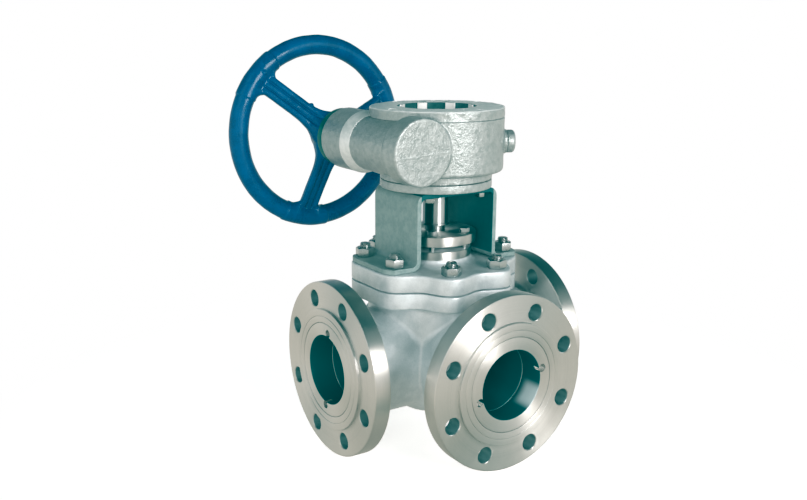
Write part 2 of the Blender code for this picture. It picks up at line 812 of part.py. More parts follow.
def build_bracket(root):
    """Folded plate that stands on the bonnet and carries the gearbox."""
    outline = bracket_side(PLATE / 2) + bracket_side(-PLATE / 2)[::-1]
    turn = Matrix.Rotation(math.radians(90), 4, "X")
    mesh = prism_mesh("bracket", outline, -BRACKET_HALF, BRACKET_HALF, turn)
    bracket = add_object("bracket", mesh, "bracket_paint", root)
    low = BONNET_TOP - 5 * MM
    high = BRACKET_TOP + 5 * MM
    keep = prism_mesh("foot_outline", lobed_outline(1.2 * MM), low, high)
    boolean(bracket, cutter("foot_outline_keep", keep, root), "INTERSECT")
    feet = [place for place in stud_places() if under_foot(place)]
    holes = hole_cutters("bracket_studs_cut", feet, STUD_HOLE_R, low, low + 20 * MM, root)
    boolean(bracket, holes, "DIFFERENCE")
    centre = lathe_mesh("sleeve_hole", rod(BRACKET_HOLE_R, high - 20 * MM, high), MID)
    boolean(bracket, cutter("sleeve_hole_cut", centre, root), "DIFFERENCE")
    screws = [around(BRACKET_SCREW_CIRCLE_R, a) for a in BRACKET_SCREW_ANGLES]
    taps = hole_cutters(
        "bracket_screws_cut", screws, BRACKET_SCREW_R + GAP, high - 20 * MM, high, root
    )
    boolean(bracket, taps, "DIFFERENCE")
    seat = BRACKET_TOP - PLATE - GAP
    for i, place in enumerate(screws, 1):
        length = DRUM_LOW + 4 * MM - seat
        shape = bolt_mesh(BRACKET_SCREW_R, -length, 0, BRACKET_SCREW_FLATS, BRACKET_SCREW_HEAD)
        add_object(
            f"bracket_screw_{i}",
            shape,
            "turned_steel",
            root,
            place + Vector((0, 0, seat)),
            (math.radians(180), 0, 0),
        )


# Gearbox ----------------------------------------------------------------------------------


def screw_holes(parent, name, low, high):
    places = [around(BRACKET_SCREW_CIRCLE_R, a) for a in BRACKET_SCREW_ANGLES]
    return hole_cutters(name, places, BRACKET_SCREW_R + GAP, low, high, parent)


def build_mounting_disc(root):
    shape = tube(BRACKET_HOLE_R, DISC_R, MOUNTING_DISC_LOW, HOUSING_LOW - GAP)
    disc = add_object("mounting_disc", lathe_mesh("disc", shape, BIG), "gear_paint", root)
    holes = screw_holes(root, "disc_screws_cut", MOUNTING_DISC_LOW - MM, HOUSING_LOW + MM)
    boolean(disc, holes, "DIFFERENCE")


def tube_shape():
    """Outside of the worm tube as (radius, y): front boss, waist, cone and rear socket."""
    chamfer = 2 * MM
    return [
        (0, TUBE_FRONT),
        (TUBE_FRONT_R - chamfer, TUBE_FRONT),
        (TUBE_FRONT_R, TUBE_FRONT + chamfer),
        (TUBE_FRONT_R, TUBE_BOSS_BACK),
        (TUBE_R, TUBE_WAIST[0]),
        (TUBE_R, TUBE_WAIST[1]),
        (SOCKET_R, SOCKET_START),
        (SOCKET_R, SOCKET_END - chamfer),
        (SOCKET_R - chamfer, SOCKET_END),
        (0, SOCKET_END),
    ]


def on_worm_axis():
    """Turns a shape made along Z so that it lies along +Y on the worm's axis."""
    return Matrix.Translation((WORM_X, 0, WORM_Z)) @ TO_REAR


def stop_turn(angle):
    """Turns a shape made along Z so that it points outwards at this angle from +X."""
    spin = Matrix.Rotation(math.radians(angle), 4, "Z")
    return Matrix.Translation((0, 0, WORM_Z)) @ spin @ TO_RIGHT


def drum_mesh():
    """Foot and drum; the top is cut flat later, to leave room for the cover beside the tube."""
    profile = [
        (0, HOUSING_LOW),
        (DISC_R, HOUSING_LOW),
        (DISC_R, DRUM_LOW),
        (DRUM_R - 3 * MM, DRUM_LOW),
        (DRUM_R, DRUM_LOW + 3 * MM),
        (DRUM_R, COVER_LOW + 3 * MM),
        (0, COVER_LOW + 3 * MM),
    ]
    return lathe_mesh("drum", profile, BIG)


def stop_shapes(name, radius, low, high):
    """A cylinder along each stop screw."""
    bm = bmesh.new()
    for angle in STOP_ANGLES.values():
        add_lathe(bm, rod(radius, low, high), SMALL, stop_turn(angle))
    return mesh_from(bm, name)


def build_housing(root):
    housing = add_object("gearbox_housing", drum_mesh(), "gear_paint", root)
    added = {
        "worm_tube_shape": lathe_mesh("worm_tube", tube_shape(), MID, on_worm_axis()),
        "stop_boss_shape": stop_shapes("bosses", STOP_BOSS_R, STOP_BOSS_START, STOP_BOSS_END),
    }
    for name, mesh in added.items():
        boolean(housing, cutter(name, mesh, root), "UNION", MANY_CUTS)
    above = rod(DRUM_R + GAP, COVER_LOW, COVER_LOW + 50 * MM)
    room = rod(GEAR_ROOM_R, GEAR_ROOM_LOW, COVER_LOW + 5 * MM)
    neck = rod(SLEEVE_R + GAP, HOUSING_LOW - 5 * MM, GEAR_ROOM_LOW + 5 * MM)
    worm_bore = rod(TUBE_BORE_R, TUBE_BORE_FRONT, SOCKET_END + 5 * MM)
    stop_r = clearing(STOP_SCREW_R + GAP)
    removed = {
        "joint_plane_cut": lathe_mesh("above", above, BIG),
        "gear_room_cut": lathe_mesh("gear_room", room, BIG),
        "sleeve_bore_cut": lathe_mesh("neck", neck, MID),
        "stop_bore_cut": stop_shapes(
            "stops", stop_r, STOP_BOSS_START - 10 * MM, STOP_BOSS_END + 5 * MM
        ),
        "worm_bore_cut": lathe_mesh("worm_bore", worm_bore, MID, on_worm_axis()),
    }
    for name, mesh in removed.items():
        boolean(housing, cutter(name, mesh, root), "DIFFERENCE", MANY_CUTS)
    taps = screw_holes(root, "housing_taps_cut", HOUSING_LOW - MM, DRUM_LOW + 5 * MM)
    boolean(housing, taps, "DIFFERENCE", MANY_CUTS)
    covers = hole_cutters(
        "cover_taps_cut",
        cover_screw_places(),
        COVER_SCREW_R + GAP,
        COVER_LOW - 8.5 * MM,
        COVER_LOW + 5 * MM,
        root,
    )
    boolean(housing, covers, "DIFFERENCE", MANY_CUTS)


def cover_screw_places():
    return [around(COVER_SCREW_CIRCLE_R, a) for a in COVER_SCREW_ANGLES]


def build_cover(root):
    """Open-topped cover ring, with counterbored screws."""
    low = COVER_LOW + GAP
    shape = [
        (COVER_OPENING_R, low),
        (DRUM_R, low),
        (DRUM_R, COVER_TOP - 1.5 * MM),
        (DRUM_R - 1.5 * MM, COVER_TOP),
        (COVER_OPENING_R, COVER_TOP),
    ]
    cover = add_object("gearbox_cover", lathe_mesh("cover", shape, BIG), "gear_paint", root)
    bm = bmesh.new()
    seat = COVER_TOP - 6 * MM
    counterbore = [
        (0, low - 2 * MM),
        (COVER_SCREW_R + GAP, low - 2 * MM),
        (COVER_SCREW_R + GAP, seat),
        (COVER_SCREW_HEAD_R + 0.7 * MM, seat),
        (COVER_SCREW_HEAD_R + 0.7 * MM, COVER_TOP + 2 * MM),
        (0, COVER_TOP + 2 * MM),
    ]
    for place in cover_screw_places():
        add_lathe(bm, counterbore, HOLE, Matrix.Translation(place))
    boolean(cover, cutter("counterbores_cut", mesh_from(bm, "counterbores"), root), "DIFFERENCE")
    screw = [
        (0, COVER_LOW - 8 * MM),
        (COVER_SCREW_R, COVER_LOW - 8 * MM),
        (COVER_SCREW_R, seat + GAP),
        (COVER_SCREW_HEAD_R, seat + GAP),
        (COVER_SCREW_HEAD_R, COVER_TOP - 0.5 * MM),
        (0, COVER_TOP - 0.5 * MM),
    ]
    for i, place in enumerate(cover_screw_places(), 1):
        mesh = lathe_mesh("cover_screw", screw, HOLE)
        add_object(f"cover_screw_{i}", mesh, "turned_steel", root, place)


def build_stop_screws(root):
    """Round-headed screws that limit the swing of the stem."""
    dome = arc(
        (STOP_SCREW_HEAD_R - STOP_SCREW_DOME, STOP_SCREW_END - STOP_SCREW_DOME),
        STOP_SCREW_DOME,
        0,
        90,
        2,
    )
    profile = [
        (0, STOP_SCREW_TIP),
        (STOP_SCREW_R, STOP_SCREW_TIP),
        (STOP_SCREW_R, STOP_BOSS_END + GAP),
        (STOP_SCREW_HEAD_R, STOP_BOSS_END + GAP),
        *dome,
        (0, STOP_SCREW_END),
    ]
    for name, angle in STOP_ANGLES.items():
        mesh = lathe_mesh("stop_screw", profile, MID, stop_turn(angle))
        add_object(name, mesh, "turned_steel", root)


def build_drive_sleeve(stem_axis):
    """Sleeve that joins the stem's square to the worm wheel."""
    profile = [
        (0.0, SLEEVE_LOW),
        (SLEEVE_COLLAR_R, SLEEVE_LOW),
        (SLEEVE_COLLAR_R, SLEEVE_COLLAR_TOP),
        (SLEEVE_R, SLEEVE_COLLAR_TOP),
        (SLEEVE_R, SLEEVE_TOP),
        (0.0, SLEEVE_TOP),
    ]
    sleeve = lathe_mesh("drive_sleeve", profile, MID)
    sleeve = add_object("drive_sleeve", sleeve, "turned_steel", stem_axis)
    side = SQUARE_SIDE + 2 * GAP
    socket = prism_mesh("socket", rectangle(side, side), SLEEVE_LOW - 5 * MM, SQUARE_TOP + MM)
    mouth = rod(STEM_R + GAP, SLEEVE_LOW - 6 * MM, SQUARE_LOW + GAP)
    boolean(sleeve, cutter("socket_cut", socket, stem_axis), "DIFFERENCE")
    mouth = lathe_mesh("mouth", mouth, MID)
    boolean(sleeve, cutter("mouth_cut", mouth, stem_axis), "DIFFERENCE")
    keyway = prism_mesh(
        "sleeve_keyway",
        rectangle(KEY_WIDE + 2 * GAP, 2 * (KEY_PROUD + GAP)),
        WHEEL_HUB_LOW - GAP,
        WHEEL_HUB_TOP + GAP,
        Matrix.Translation((0, SLEEVE_R, 0)),
    )
    boolean(sleeve, cutter("sleeve_keyway_cut", keyway, stem_axis), "DIFFERENCE")
    key = prism_mesh(
        "wheel_key",
        rectangle(KEY_WIDE, 2 * KEY_PROUD),
        WHEEL_HUB_LOW,
        WHEEL_HUB_TOP,
        Matrix.Translation((0, SLEEVE_R, 0)),
    )
    add_object("wheel_key", key, "turned_steel", stem_axis)


def tooth_half(radius):
    """Half thickness of a wheel tooth, as an angle, at this radius."""
    return (TOOTH_THICK / 2 - (radius - WHEEL_PITCH_R) * PRESSURE_TAN) / radius


def build_worm_wheel(stem_axis):
    """Worm wheel with a tooth gap facing the worm; its teeth lean with the worm's lead."""
    root_r = WHEEL_PITCH_R - DEDENDUM
    tip_r = WHEEL_PITCH_R + ADDENDUM
    pitch = 2 * math.pi / WHEEL_TEETH
    lean = WORM_LEAD / (2 * math.pi * WORM_PITCH_R) / WHEEL_PITCH_R
    bm = bmesh.new()
    rings = []
    for z in (-WHEEL_HALF, WHEEL_HALF):
        ring = []
        for tooth in range(WHEEL_TEETH):
            middle = math.pi + pitch * (tooth + 0.5) + lean * z
            for radius, side in ((root_r, -1), (tip_r, -1), (tip_r, 1), (root_r, 1)):
                a = middle + side * tooth_half(radius)
                place = (radius * math.cos(a), radius * math.sin(a), WORM_Z + z)
                ring.append(bm.verts.new(place))
        rings.append(ring)
    low, high = rings
    count = len(low)
    for i in range(count):
        j = (i + 1) % count
        bm.faces.new((low[i], low[j], high[j], high[i]))
    bm.faces.new(low)
    bm.faces.new(high)
    wheel = add_object("worm_wheel", mesh_from(bm, "worm_wheel"), "bronze", stem_axis)
    hub = lathe_mesh("hub", rod(WHEEL_HUB_R, WHEEL_HUB_LOW, WHEEL_HUB_TOP), MID)
    boolean(wheel, cutter("wheel_hub_shape", hub, stem_axis), "UNION")
    below, above = WHEEL_HUB_LOW - 5 * MM, WHEEL_HUB_TOP + 5 * MM
    bore = lathe_mesh("bore", rod(SLEEVE_R + GAP, below, above), MID)
    boolean(wheel, cutter("wheel_bore_cut", bore, stem_axis), "DIFFERENCE")
    keyway = prism_mesh(
        "wheel_keyway",
        rectangle(KEY_WIDE + 2 * GAP, 2 * (KEY_PROUD + GAP)),
        below,
        above,
        Matrix.Translation((0, SLEEVE_R, 0)),
    )
    boolean(wheel, cutter("wheel_keyway_cut", keyway, stem_axis), "DIFFERENCE")


def worm_rows():
    """Rows of the worm's thread over one lead, as (offset along the axis, radius).

    The crest's middle faces the wheel at the middle of the worm.
    """
    crest_half = TOOTH_THICK / 2 - ADDENDUM * PRESSURE_TAN
    root_half = TOOTH_THICK / 2 + DEDENDUM * PRESSURE_TAN
    crest = WORM_PITCH_R + ADDENDUM
    root = WORM_PITCH_R - DEDENDUM
    return [(-root_half, root), (-crest_half, crest), (crest_half, crest), (root_half, root)]


def build_worm_shaft(worm_axis):
    """Worm and shaft in one piece, along +Y, with the handwheel's seat at its end."""
    steps = WORM_STEPS
    rows = worm_rows()
    root = rows[0][1]
    leads = math.ceil(WORM_HALF / WORM_LEAD) + 2
    bm = bmesh.new()
    grid = []
    for lead in range(-leads, leads + 1):
        for offset, radius in rows:
            line = []
            for i in range(steps + 1):
                y = (lead + i / steps) * WORM_LEAD + offset
                near_end = abs(y) > WORM_HALF - WORM_LEAD / 2
                height = root if near_end else radius
                a = 2 * math.pi * i / steps
                y = max(-WORM_HALF, min(WORM_HALF, y))
                line.append(bm.verts.new((height * math.cos(a), y, -height * math.sin(a))))
            grid.append(line)
    for line, following in zip(grid, grid[1:]):
        for i in range(steps):
            bm.faces.new((line[i], line[i + 1], following[i + 1], following[i]))
    bmesh.ops.remove_doubles(bm, verts=bm.verts, dist=1e-6)
    bmesh.ops.dissolve_degenerate(bm, edges=bm.edges, dist=1e-6)
    loose = [edge for edge in bm.edges if edge.is_boundary]
    ends = {
        -1: [edge for edge in loose if edge.verts[0].co.y < 0],
        1: [edge for edge in loose if edge.verts[0].co.y > 0],
    }
    bushing_front = TUBE_BORE_FRONT + 3 * MM
    shaft_steps = {
        -1: [(-WORM_HALF, SHAFT_R), (bushing_front, SHAFT_R)],
        1: [
            (WORM_HALF, SHAFT_R),
            (HUB_FRONT - 2 * MM, SHAFT_R),
            (HUB_FRONT - 2 * MM, WHEEL_SEAT_R),
            (SHAFT_END, WHEEL_SEAT_R),
        ],
    }
    for side, edges in ends.items():
        for y, radius in shaft_steps[side]:
            edges = extruded_ring(bm, edges, y, radius)
        bmesh.ops.holes_fill(bm, edges=edges)
    add_object("worm_shaft", mesh_from(bm, "worm_shaft"), "turned_steel", worm_axis)


def extruded_ring(bm, edges, y, radius):
    """Extrudes a ring of edges to another radius and place along Y; returns the new ring."""
    made = bmesh.ops.extrude_edge_only(bm, edges=edges)["geom"]
    for item in made:
        if isinstance(item, bmesh.types.BMVert):
            scale = radius / math.hypot(item.co.x, item.co.z)
            item.co = Vector((item.co.x * scale, y, item.co.z * scale))
    return [item for item in made if isinstance(item, bmesh.types.BMEdge) and item.is_boundary]


def build_worm_bearings(root):
    turn = on_worm_axis()
    front = TUBE_BORE_FRONT + GAP
    spans = {
        "worm_bush_front": (front, front + BUSH_LONG),
        "worm_bush_rear": (SOCKET_END - GAP - BUSH_LONG, SOCKET_END - GAP),
    }
    for name, (low, high) in spans.items():
        shape = tube(SHAFT_R + GAP, TUBE_BORE_R - GAP, low, high)
        add_object(name, lathe_mesh("bush", shape, MID, turn), "bronze", root)
    seal = [
        (SHAFT_R + GAP, SOCKET_END + GAP),
        (SEAL_R, SOCKET_END + GAP),
        (SEAL_R, SEAL_CUP_END),
        (SEAL_CUP_R, SEAL_CUP_END),
        (SEAL_CUP_R, SOCKET_END + GAP + SEAL_LONG),
        (SHAFT_R + GAP, SOCKET_END + GAP + SEAL_LONG),
    ]
    add_object("input_seal", lathe_mesh("seal", seal, MID, turn), "seal_rubber", root)


# Handwheel ----------------------------------------------------------------------------------


def spoke_mesh(angle):
    """Tapered bar from the hub to the rim, leaning out to the rim's plane."""
    bm = bmesh.new()
    inner = (HUB_R - 6 * MM, HUB_BACK - 14 * MM, SPOKE_WIDE_HUB)
    outer = (RIM_R, RIM_PLANE, SPOKE_WIDE_RIM)
    rings = []
    for radius, y, wide in (inner, outer):
        corners = rectangle(wide, SPOKE_THICK)
        rings.append([bm.verts.new((radius, y + dy, dx)) for dx, dy in corners])
    low, high = rings
    bm.faces.new(low)
    bm.faces.new(high)
    for i in range(4):
        j = (i + 1) % 4
        bm.faces.new((low[i], low[j], high[j], high[i]))
    bm.transform(Matrix.Rotation(math.radians(-angle), 4, "Y"))
    return mesh_from(bm, "spoke")


def build_handwheel(worm_axis):
    section = arc((RIM_R, RIM_PLANE), RIM_SECTION_R, 0, 360, 12)[:-1]
    rim = lathe_mesh("rim", section, BIG, TO_REAR)
    wheel = add_object("handwheel", rim, "blue_paint", worm_axis)
    hub = [
        (0, HUB_FRONT),
        (HUB_R, HUB_FRONT),
        (HUB_R + 2 * MM, HUB_BACK - 20 * MM),
        (HUB_R, HUB_BACK),
        (0, HUB_BACK),
    ]
    hub_mesh = lathe_mesh("wheel_hub", hub, MID, TO_REAR)
    boolean(wheel, cutter("hub_shape", hub_mesh, worm_axis), "UNION")
    for i, angle in enumerate(SPOKE_ANGLES, 1):
        boolean(wheel, cutter(f"spoke_{i}_shape", spoke_mesh(angle), worm_axis), "UNION")
    bore = rod(WHEEL_SEAT_R + GAP, HUB_FRONT - 5 * MM, HUB_BACK + 15 * MM)
    bore_mesh = lathe_mesh("wheel_bore", bore, MID, TO_REAR)
    boolean(wheel, cutter("wheel_bore_hole", bore_mesh, worm_axis), "DIFFERENCE")
    nut = hex_nut(WHEEL_NUT_FLATS, WHEEL_SEAT_R + GAP, WHEEL_NUT_HIGH)
    nut.transform(Matrix.Translation((0, HUB_BACK + GAP, 0)) @ TO_REAR)
    add_object("handwheel_nut", nut, "turned_steel", worm_axis)


def build():
    clear_scene()
    root = empty("port_centre", (0, 0, PORT_HEIGHT))
    stem_axis = empty("stem_axis", (0, 0, 0), root)
    worm_axis = empty("worm_axis", (WORM_X, 0, WORM_Z), root)
    build_body(root)
    build_ball(stem_axis)
    build_seats(root)
    build_retainers(root)
    build_bonnet(root)
    build_gasket(root)
    build_studs(root)
    build_stem(stem_axis)
    build_stuffing_box(root)
    build_bracket(root)
    build_mounting_disc(root)
    build_housing(root)
    build_cover(root)
    build_stop_screws(root)
    build_drive_sleeve(stem_axis)
    build_worm_wheel(stem_axis)
    build_worm_shaft(worm_axis)
    build_worm_bearings(root)
    build_handwheel(worm_axis)


build()
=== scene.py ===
"""Looks of the three-way ball valve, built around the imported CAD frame.

Lengths in this file are millimetres and heights are measured from the port centre, as in the
CAD; to_scene() turns them into the scene's metres.
"""

from math import acos, ceil, cos, pi, radians, sin, sqrt, tan

import bmesh
import bpy
import numpy as np
from mathutils import Matrix, Vector


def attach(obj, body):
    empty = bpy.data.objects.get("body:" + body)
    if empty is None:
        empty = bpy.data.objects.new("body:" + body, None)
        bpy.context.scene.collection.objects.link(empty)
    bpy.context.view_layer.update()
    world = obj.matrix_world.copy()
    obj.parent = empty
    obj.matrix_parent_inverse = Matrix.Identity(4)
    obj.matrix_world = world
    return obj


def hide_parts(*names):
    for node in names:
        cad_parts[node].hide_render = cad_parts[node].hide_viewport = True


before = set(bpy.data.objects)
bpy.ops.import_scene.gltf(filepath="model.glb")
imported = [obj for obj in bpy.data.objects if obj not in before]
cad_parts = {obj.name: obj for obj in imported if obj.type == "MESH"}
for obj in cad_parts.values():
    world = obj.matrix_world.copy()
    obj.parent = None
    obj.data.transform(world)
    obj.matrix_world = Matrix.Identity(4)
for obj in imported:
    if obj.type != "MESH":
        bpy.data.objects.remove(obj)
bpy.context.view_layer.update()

MM = 0.001
PORT_HEIGHT = 67.0
SMOOTH_ANGLE = 32

# Ports and flanges
FACE = 143.0
FLANGE_FACE = 140.0
FLANGE_BACK = 121.0
FLANGE_R = 97.5
RAISED_R = 67.5
GROOVE_R = 60.0
NECK_R = 59.5
NECK_FILLET = 7.0
RETAINER_R = 52.5
SEAT_R = 50.0
BORE_R = 38.5
BOLT_CIRCLE_R = 80.0
BOLT_HOLE_R = 9.0
SPANNER_R = 4.5
SPANNER_AT = 42.5
SPANNER_ANGLES = {"left": 85.0, "right": 0.0, "front": 105.0}

# Body and bonnet
BOWL_R = 76.0
CHAMBER_R = 66.0
BALL_R = 64.0
LOBE_R = 95.5
VALLEY_R = 82.5
SIDE_VALLEY_R = 90.5
JOINT_LOW = 69.5
JOINT_TOP = 87.3
BONNET_LOW = 88.9
BONNET_TOP = 107.7
BOSS_R = 41.0
BOSS_TOP = 123.4
STUD_CIRCLE_R = 80.0
FOOT_THICK = 5.3

# Stem and stuffing box
STEM_R = 11.0
STEM_HOLE_R = 11.3
COUPLING_R = 14.4
COUPLING_COLLAR_R = 15.6
COUPLING_LOW = 147.4
COUPLING_COLLAR_TOP = 149.6
COUPLING_TOP = 262.0
BUSH_LOW = 112.3
BUSH_STEP = 124.0
GLAND_R = 46.0
GLAND_LOW = 130.0
GLAND_TOP = 141.1
GLAND_BOLT_CIRCLE_R = 36.0
GLAND_BOLT_LENGTH = 32.0
GLAND_BOLT_ANGLES = (30, 140, 210, 320)
SMALL_BOLT_R = 3.0
SMALL_BOLT_FLATS = 10.0

# Bracket
BRACKET_OUT = 53.3
BRACKET_FOOT = 89.5
BRACKET_HALF = 43.0
BRACKET_TOP = 191.0
BRACKET_BEND = 8.0
BRACKET_SCREW_CIRCLE_R = 50.0
BRACKET_SCREW_LENGTH = 25.0
BRACKET_SCREW_ANGLES = (43, 137, 223, 317)

# Gearbox
DISC_R = 62.3
DISC_LOW = 191.3
DISC_TOP = 200.3
FOOT_LOW = 200.7
DRUM_R = 74.2
DRUM_LOW = 209.8
DRUM_TOP = 268.0
COVER_LOW = 268.3
COVER_TOP = 279.3
OPENING_R = 43.0
COVER_SCREW_CIRCLE_R = 66.0
COVER_SCREW_ANGLES = (10, 100, 190, 280)
COVER_HOLE_CIRCLE_R = 57.0
# Angle and radius of each blind hole in the cover
COVER_HOLES = ((134, 5.4), (148, 4.2), (162, 5.6), (318, 3.4), (355, 2.6))
STOP_ANGLES = {"stop_screw_open": -28.0, "stop_screw_closed": 62.0}
WORM_X = -64.0
WORM_Z = 239.5
TUBE_FRONT = -68.9
TUBE_REAR = 86.5
# Outside radius of the worm tube at places along its axis
TUBE_PROFILE = ((-45.0, -36.0, 28.6, 44.4), (35.5, 30.0, 30.0, 34.3))

# Handwheel
HUB_FRONT = 91.3
HUB_BACK = 138.0
HUB_PROFILE = ((HUB_FRONT, 99.0, 104.0, 118.0, HUB_BACK), (21.0, 21.8, 23.5, 24.0, 21.0))
RIM_PLANE = 159.3
RIM_R = 102.2
RIM_SECTION_R = 11.5
SPOKE_ANGLE = 18.7
SPOKE_HUB = 121.5
# Share of a height on a leaning spoke that is square to its face
SPOKE_LEAN = 0.9
# Casting nubs: x and z from the axis, y, radius
NUBS = ((-22.6, 34.9, 128.5, 2.6), (-72.3, 72.3, 148.0, 2.2))


# ---- Meshes ----


def rotation(angle, axis):
    return np.array(Matrix.Rotation(radians(angle), 3, axis))


TO_LEFT = rotation(-90, "Y")
TO_RIGHT = rotation(90, "Y")
TO_FRONT = rotation(90, "X")
TO_REAR = rotation(-90, "X")
PORTS = {"left": TO_LEFT, "right": TO_RIGHT, "front": TO_FRONT}
WORM_AXIS = (WORM_X, 0, WORM_Z)


def around(radius, angle):
    """Place on a circle, with the angle in degrees counted from -Y towards +X."""
    a = radians(angle)
    return np.array((radius * sin(a), -radius * cos(a), 0.0))


def turned_to(angle, x, y):
    """Coordinates along and across the direction at this angle from +X."""
    c, s = cos(radians(angle)), sin(radians(angle))
    return c * x + s * y, -s * x + c * y


def quarter(steps):
    """(sine, cosine) pairs over a quarter turn, to round an edge in the rows of polar()."""
    angles = [radians(90 * k / steps) for k in range(steps + 1)]
    return [(sin(a), cos(a)) for a in angles]


def to_scene(points):
    return ((np.asarray(points, float) + (0, 0, PORT_HEIGHT)) * MM).tolist()


def moved(shape, turn=None, shift=(0, 0, 0)):
    """The (points, faces) shape turned about the origin and then shifted."""
    points, faces = shape
    points = np.asarray(points, float)
    if turn is not None:
        points = points @ np.asarray(turn).T
    return points + np.asarray(shift, float), faces


def polar(rows, count=96):
    """Rings of (radius, height) round Z, either of them a number or an array over the angle.

    A first and last row on the axis close the shape; otherwise the last row joins the first.
    """
    angle = np.arange(count) * 2 * pi / count
    points, rings = [], []
    for radius, height in rows:
        radius = np.broadcast_to(np.asarray(radius, float), (count,))
        height = np.broadcast_to(np.asarray(height, float), (count,))
        start = len(points)
        if radius.max() < 1e-9:
            points.append((0, 0, height[0]))
            rings.append([start] * count)
        else:
            points += list(zip(radius * np.cos(angle), radius * np.sin(angle), height))
            rings.append(list(range(start, start + count)))
    pairs = list(zip(rings, rings[1:]))
    if rings[0][0] != rings[0][1]:
        pairs.append((rings[-1], rings[0]))
    faces = []
    for low, high in pairs:
        for i in range(count):
            j = (i + 1) % count
            corners = (low[i], low[j], high[j], high[i])
            faces.append(tuple(dict.fromkeys(corners)))
    return np.array(points, float), faces


def rounded(profile, steps=4):
    """Profile of (radius, height[, corner radius]) points with arcs at those corners."""
    ring = profile[0][0] > 0
    out = []
    for i, corner in enumerate(profile):
        here = np.array(corner[:2], float)
        inner = ring or 0 < i < len(profile) - 1
        if len(corner) < 3 or not inner:
            out.append(tuple(here))
            continue
        before = np.array(profile[i - 1][:2]) - here
        after = np.array(profile[(i + 1) % len(profile)][:2]) - here
        room = 0.49 * min(np.linalg.norm(before), np.linalg.norm(after))
        before /= np.linalg.norm(before)
        after /= np.linalg.norm(after)
        half = acos(max(-1, min(1, before @ after))) / 2
        along = min(corner[2] / tan(half), room)
        radius = along * tan(half)
        middle = (before + after) / np.linalg.norm(before + after)
        centre = here + middle * radius / sin(half)
        first, last = here + before * along - centre, here + after * along - centre
        sweep = pi - 2 * half
        for k in range(steps + 1):
            s = k / steps
            a, b = sin((1 - s) * sweep), sin(s * sweep)
            out.append(tuple(centre + (a * first + b * last) / sin(sweep)))
    return out


def lathe(profile, count=96, steps=4):
    return polar(rounded(profile, steps), count)


def prism(outline, low, high):
    """Closed outline of (x, y) points extruded along Z."""
    n = len(outline)
    points = [(x, y, z) for z in (low, high) for x, y in outline]
    faces = [tuple(range(n)), tuple(range(n, 2 * n))]
    faces += [(i, (i + 1) % n, n + (i + 1) % n, n + i) for i in range(n)]
    return np.array(points, float), faces


def new_object(name, data):
    obj = bpy.data.objects.new(name, data)
    bpy.context.scene.collection.objects.link(obj)
    return obj


def smooth(mesh):
    mesh.shade_smooth()
    mesh.set_sharp_from_angle(angle=radians(SMOOTH_ANGLE))


def new_mesh(name, shape):
    points, faces = shape
    mesh = bpy.data.meshes.new(name)
    mesh.from_pydata(to_scene(points), [], faces)
    bm = bmesh.new()
    bm.from_mesh(mesh)
    bmesh.ops.recalc_face_normals(bm, faces=bm.faces)
    bm.to_mesh(mesh)
    bm.free()
    smooth(mesh)
    return mesh


def bevel(obj, width, segments, angle):
    made = obj.modifiers.new("edges", "BEVEL")
    made.width = width * MM
    made.segments = segments
    made.limit_method = "ANGLE"
    made.angle_limit = radians(angle)
    made.use_clamp_overlap = True


def assign(obj, body, replaces):
    """Puts the object on its body, in place of the CAD node it stands for."""
    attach(obj, body)
    if replaces:
        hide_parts(replaces)


def add_piece(name, shape, material, body="valve", replaces=None, cuts=()):
    """One visible piece; cuts are (operation, shape) pairs applied to its mesh."""
    obj = new_object(name, new_mesh(name, shape))
    if cuts:
        carve(obj, cuts)
    obj.data.materials.clear()
    obj.data.materials.append(material)
    assign(obj, body, replaces)
    return obj


def carve(obj, cuts):
    helpers = []
    for operation, shape in cuts:
        helper = new_object("helper", new_mesh("helper", shape))
        modifier = obj.modifiers.new("cut", "BOOLEAN")
        modifier.operation = operation
        modifier.object = helper
        modifier.solver = "EXACT"
        helpers.append(helper)
    bpy.context.view_layer.update()
    result = obj.evaluated_get(bpy.context.evaluated_depsgraph_get())
    mesh = bpy.data.meshes.new_from_object(result)
    obj.modifiers.clear()
    obj.data = mesh
    for helper in helpers:
        bpy.data.objects.remove(helper)
    smooth(mesh)


# ---- Castings as level sets ----


def blend_union(a, b, r):
    """Union of two distance fields with a fillet of radius r."""
    u, v = np.maximum(r - a, 0), np.maximum(r - b, 0)
    return np.maximum(r, np.minimum(a, b)) - np.hypot(u, v)


def blend_common(a, b, r):
    """Intersection of two distance fields with an edge rounded to radius r."""
    return -blend_union(-a, -b, r)


def ripple(x, y, z, wavelength, seed):
    """Smooth random bumps between about -1 and 1."""
    rng = np.random.default_rng(seed)
    total = 0.0
    for _ in range(7):
        k = rng.normal(size=3)
        k *= 2 * pi / wavelength * rng.uniform(0.6, 1.5) / np.linalg.norm(k)
        total = total + np.sin(k[0] * x + k[1] * y + k[2] * z + rng.uniform(0, 6.28))
    return total / 4


UNIT = np.eye(3, dtype=int)
CORNERS = [np.array((i, j, k)) for i in (0, 1) for j in (0, 1) for k in (0, 1)]


def sample_field(field, axes):
    grid = np.empty([len(a) for a in axes], np.float32)
    y, z = np.meshgrid(axes[1], axes[2], indexing="ij")
    for i, x in enumerate(axes[0]):
        grid[i] = field(np.full_like(y, x), y, z)
    return grid


def surface_points(grid, place):
    """Mean of the places where the surface crosses the edges of each cell, in cells."""
    summed, hits = np.zeros((len(place), 3)), np.zeros(len(place))
    for a in CORNERS:
        for k in range(3):
            if a[k]:
                continue
            fa, fb = grid[tuple((place + a).T)], grid[tuple((place + a + UNIT[k]).T)]
            cross = (fa < 0) != (fb < 0)
            summed[cross] += a
            summed[cross, k] += fa[cross] / (fa[cross] - fb[cross])
            hits[cross] += 1
    return place + summed / hits[:, None]


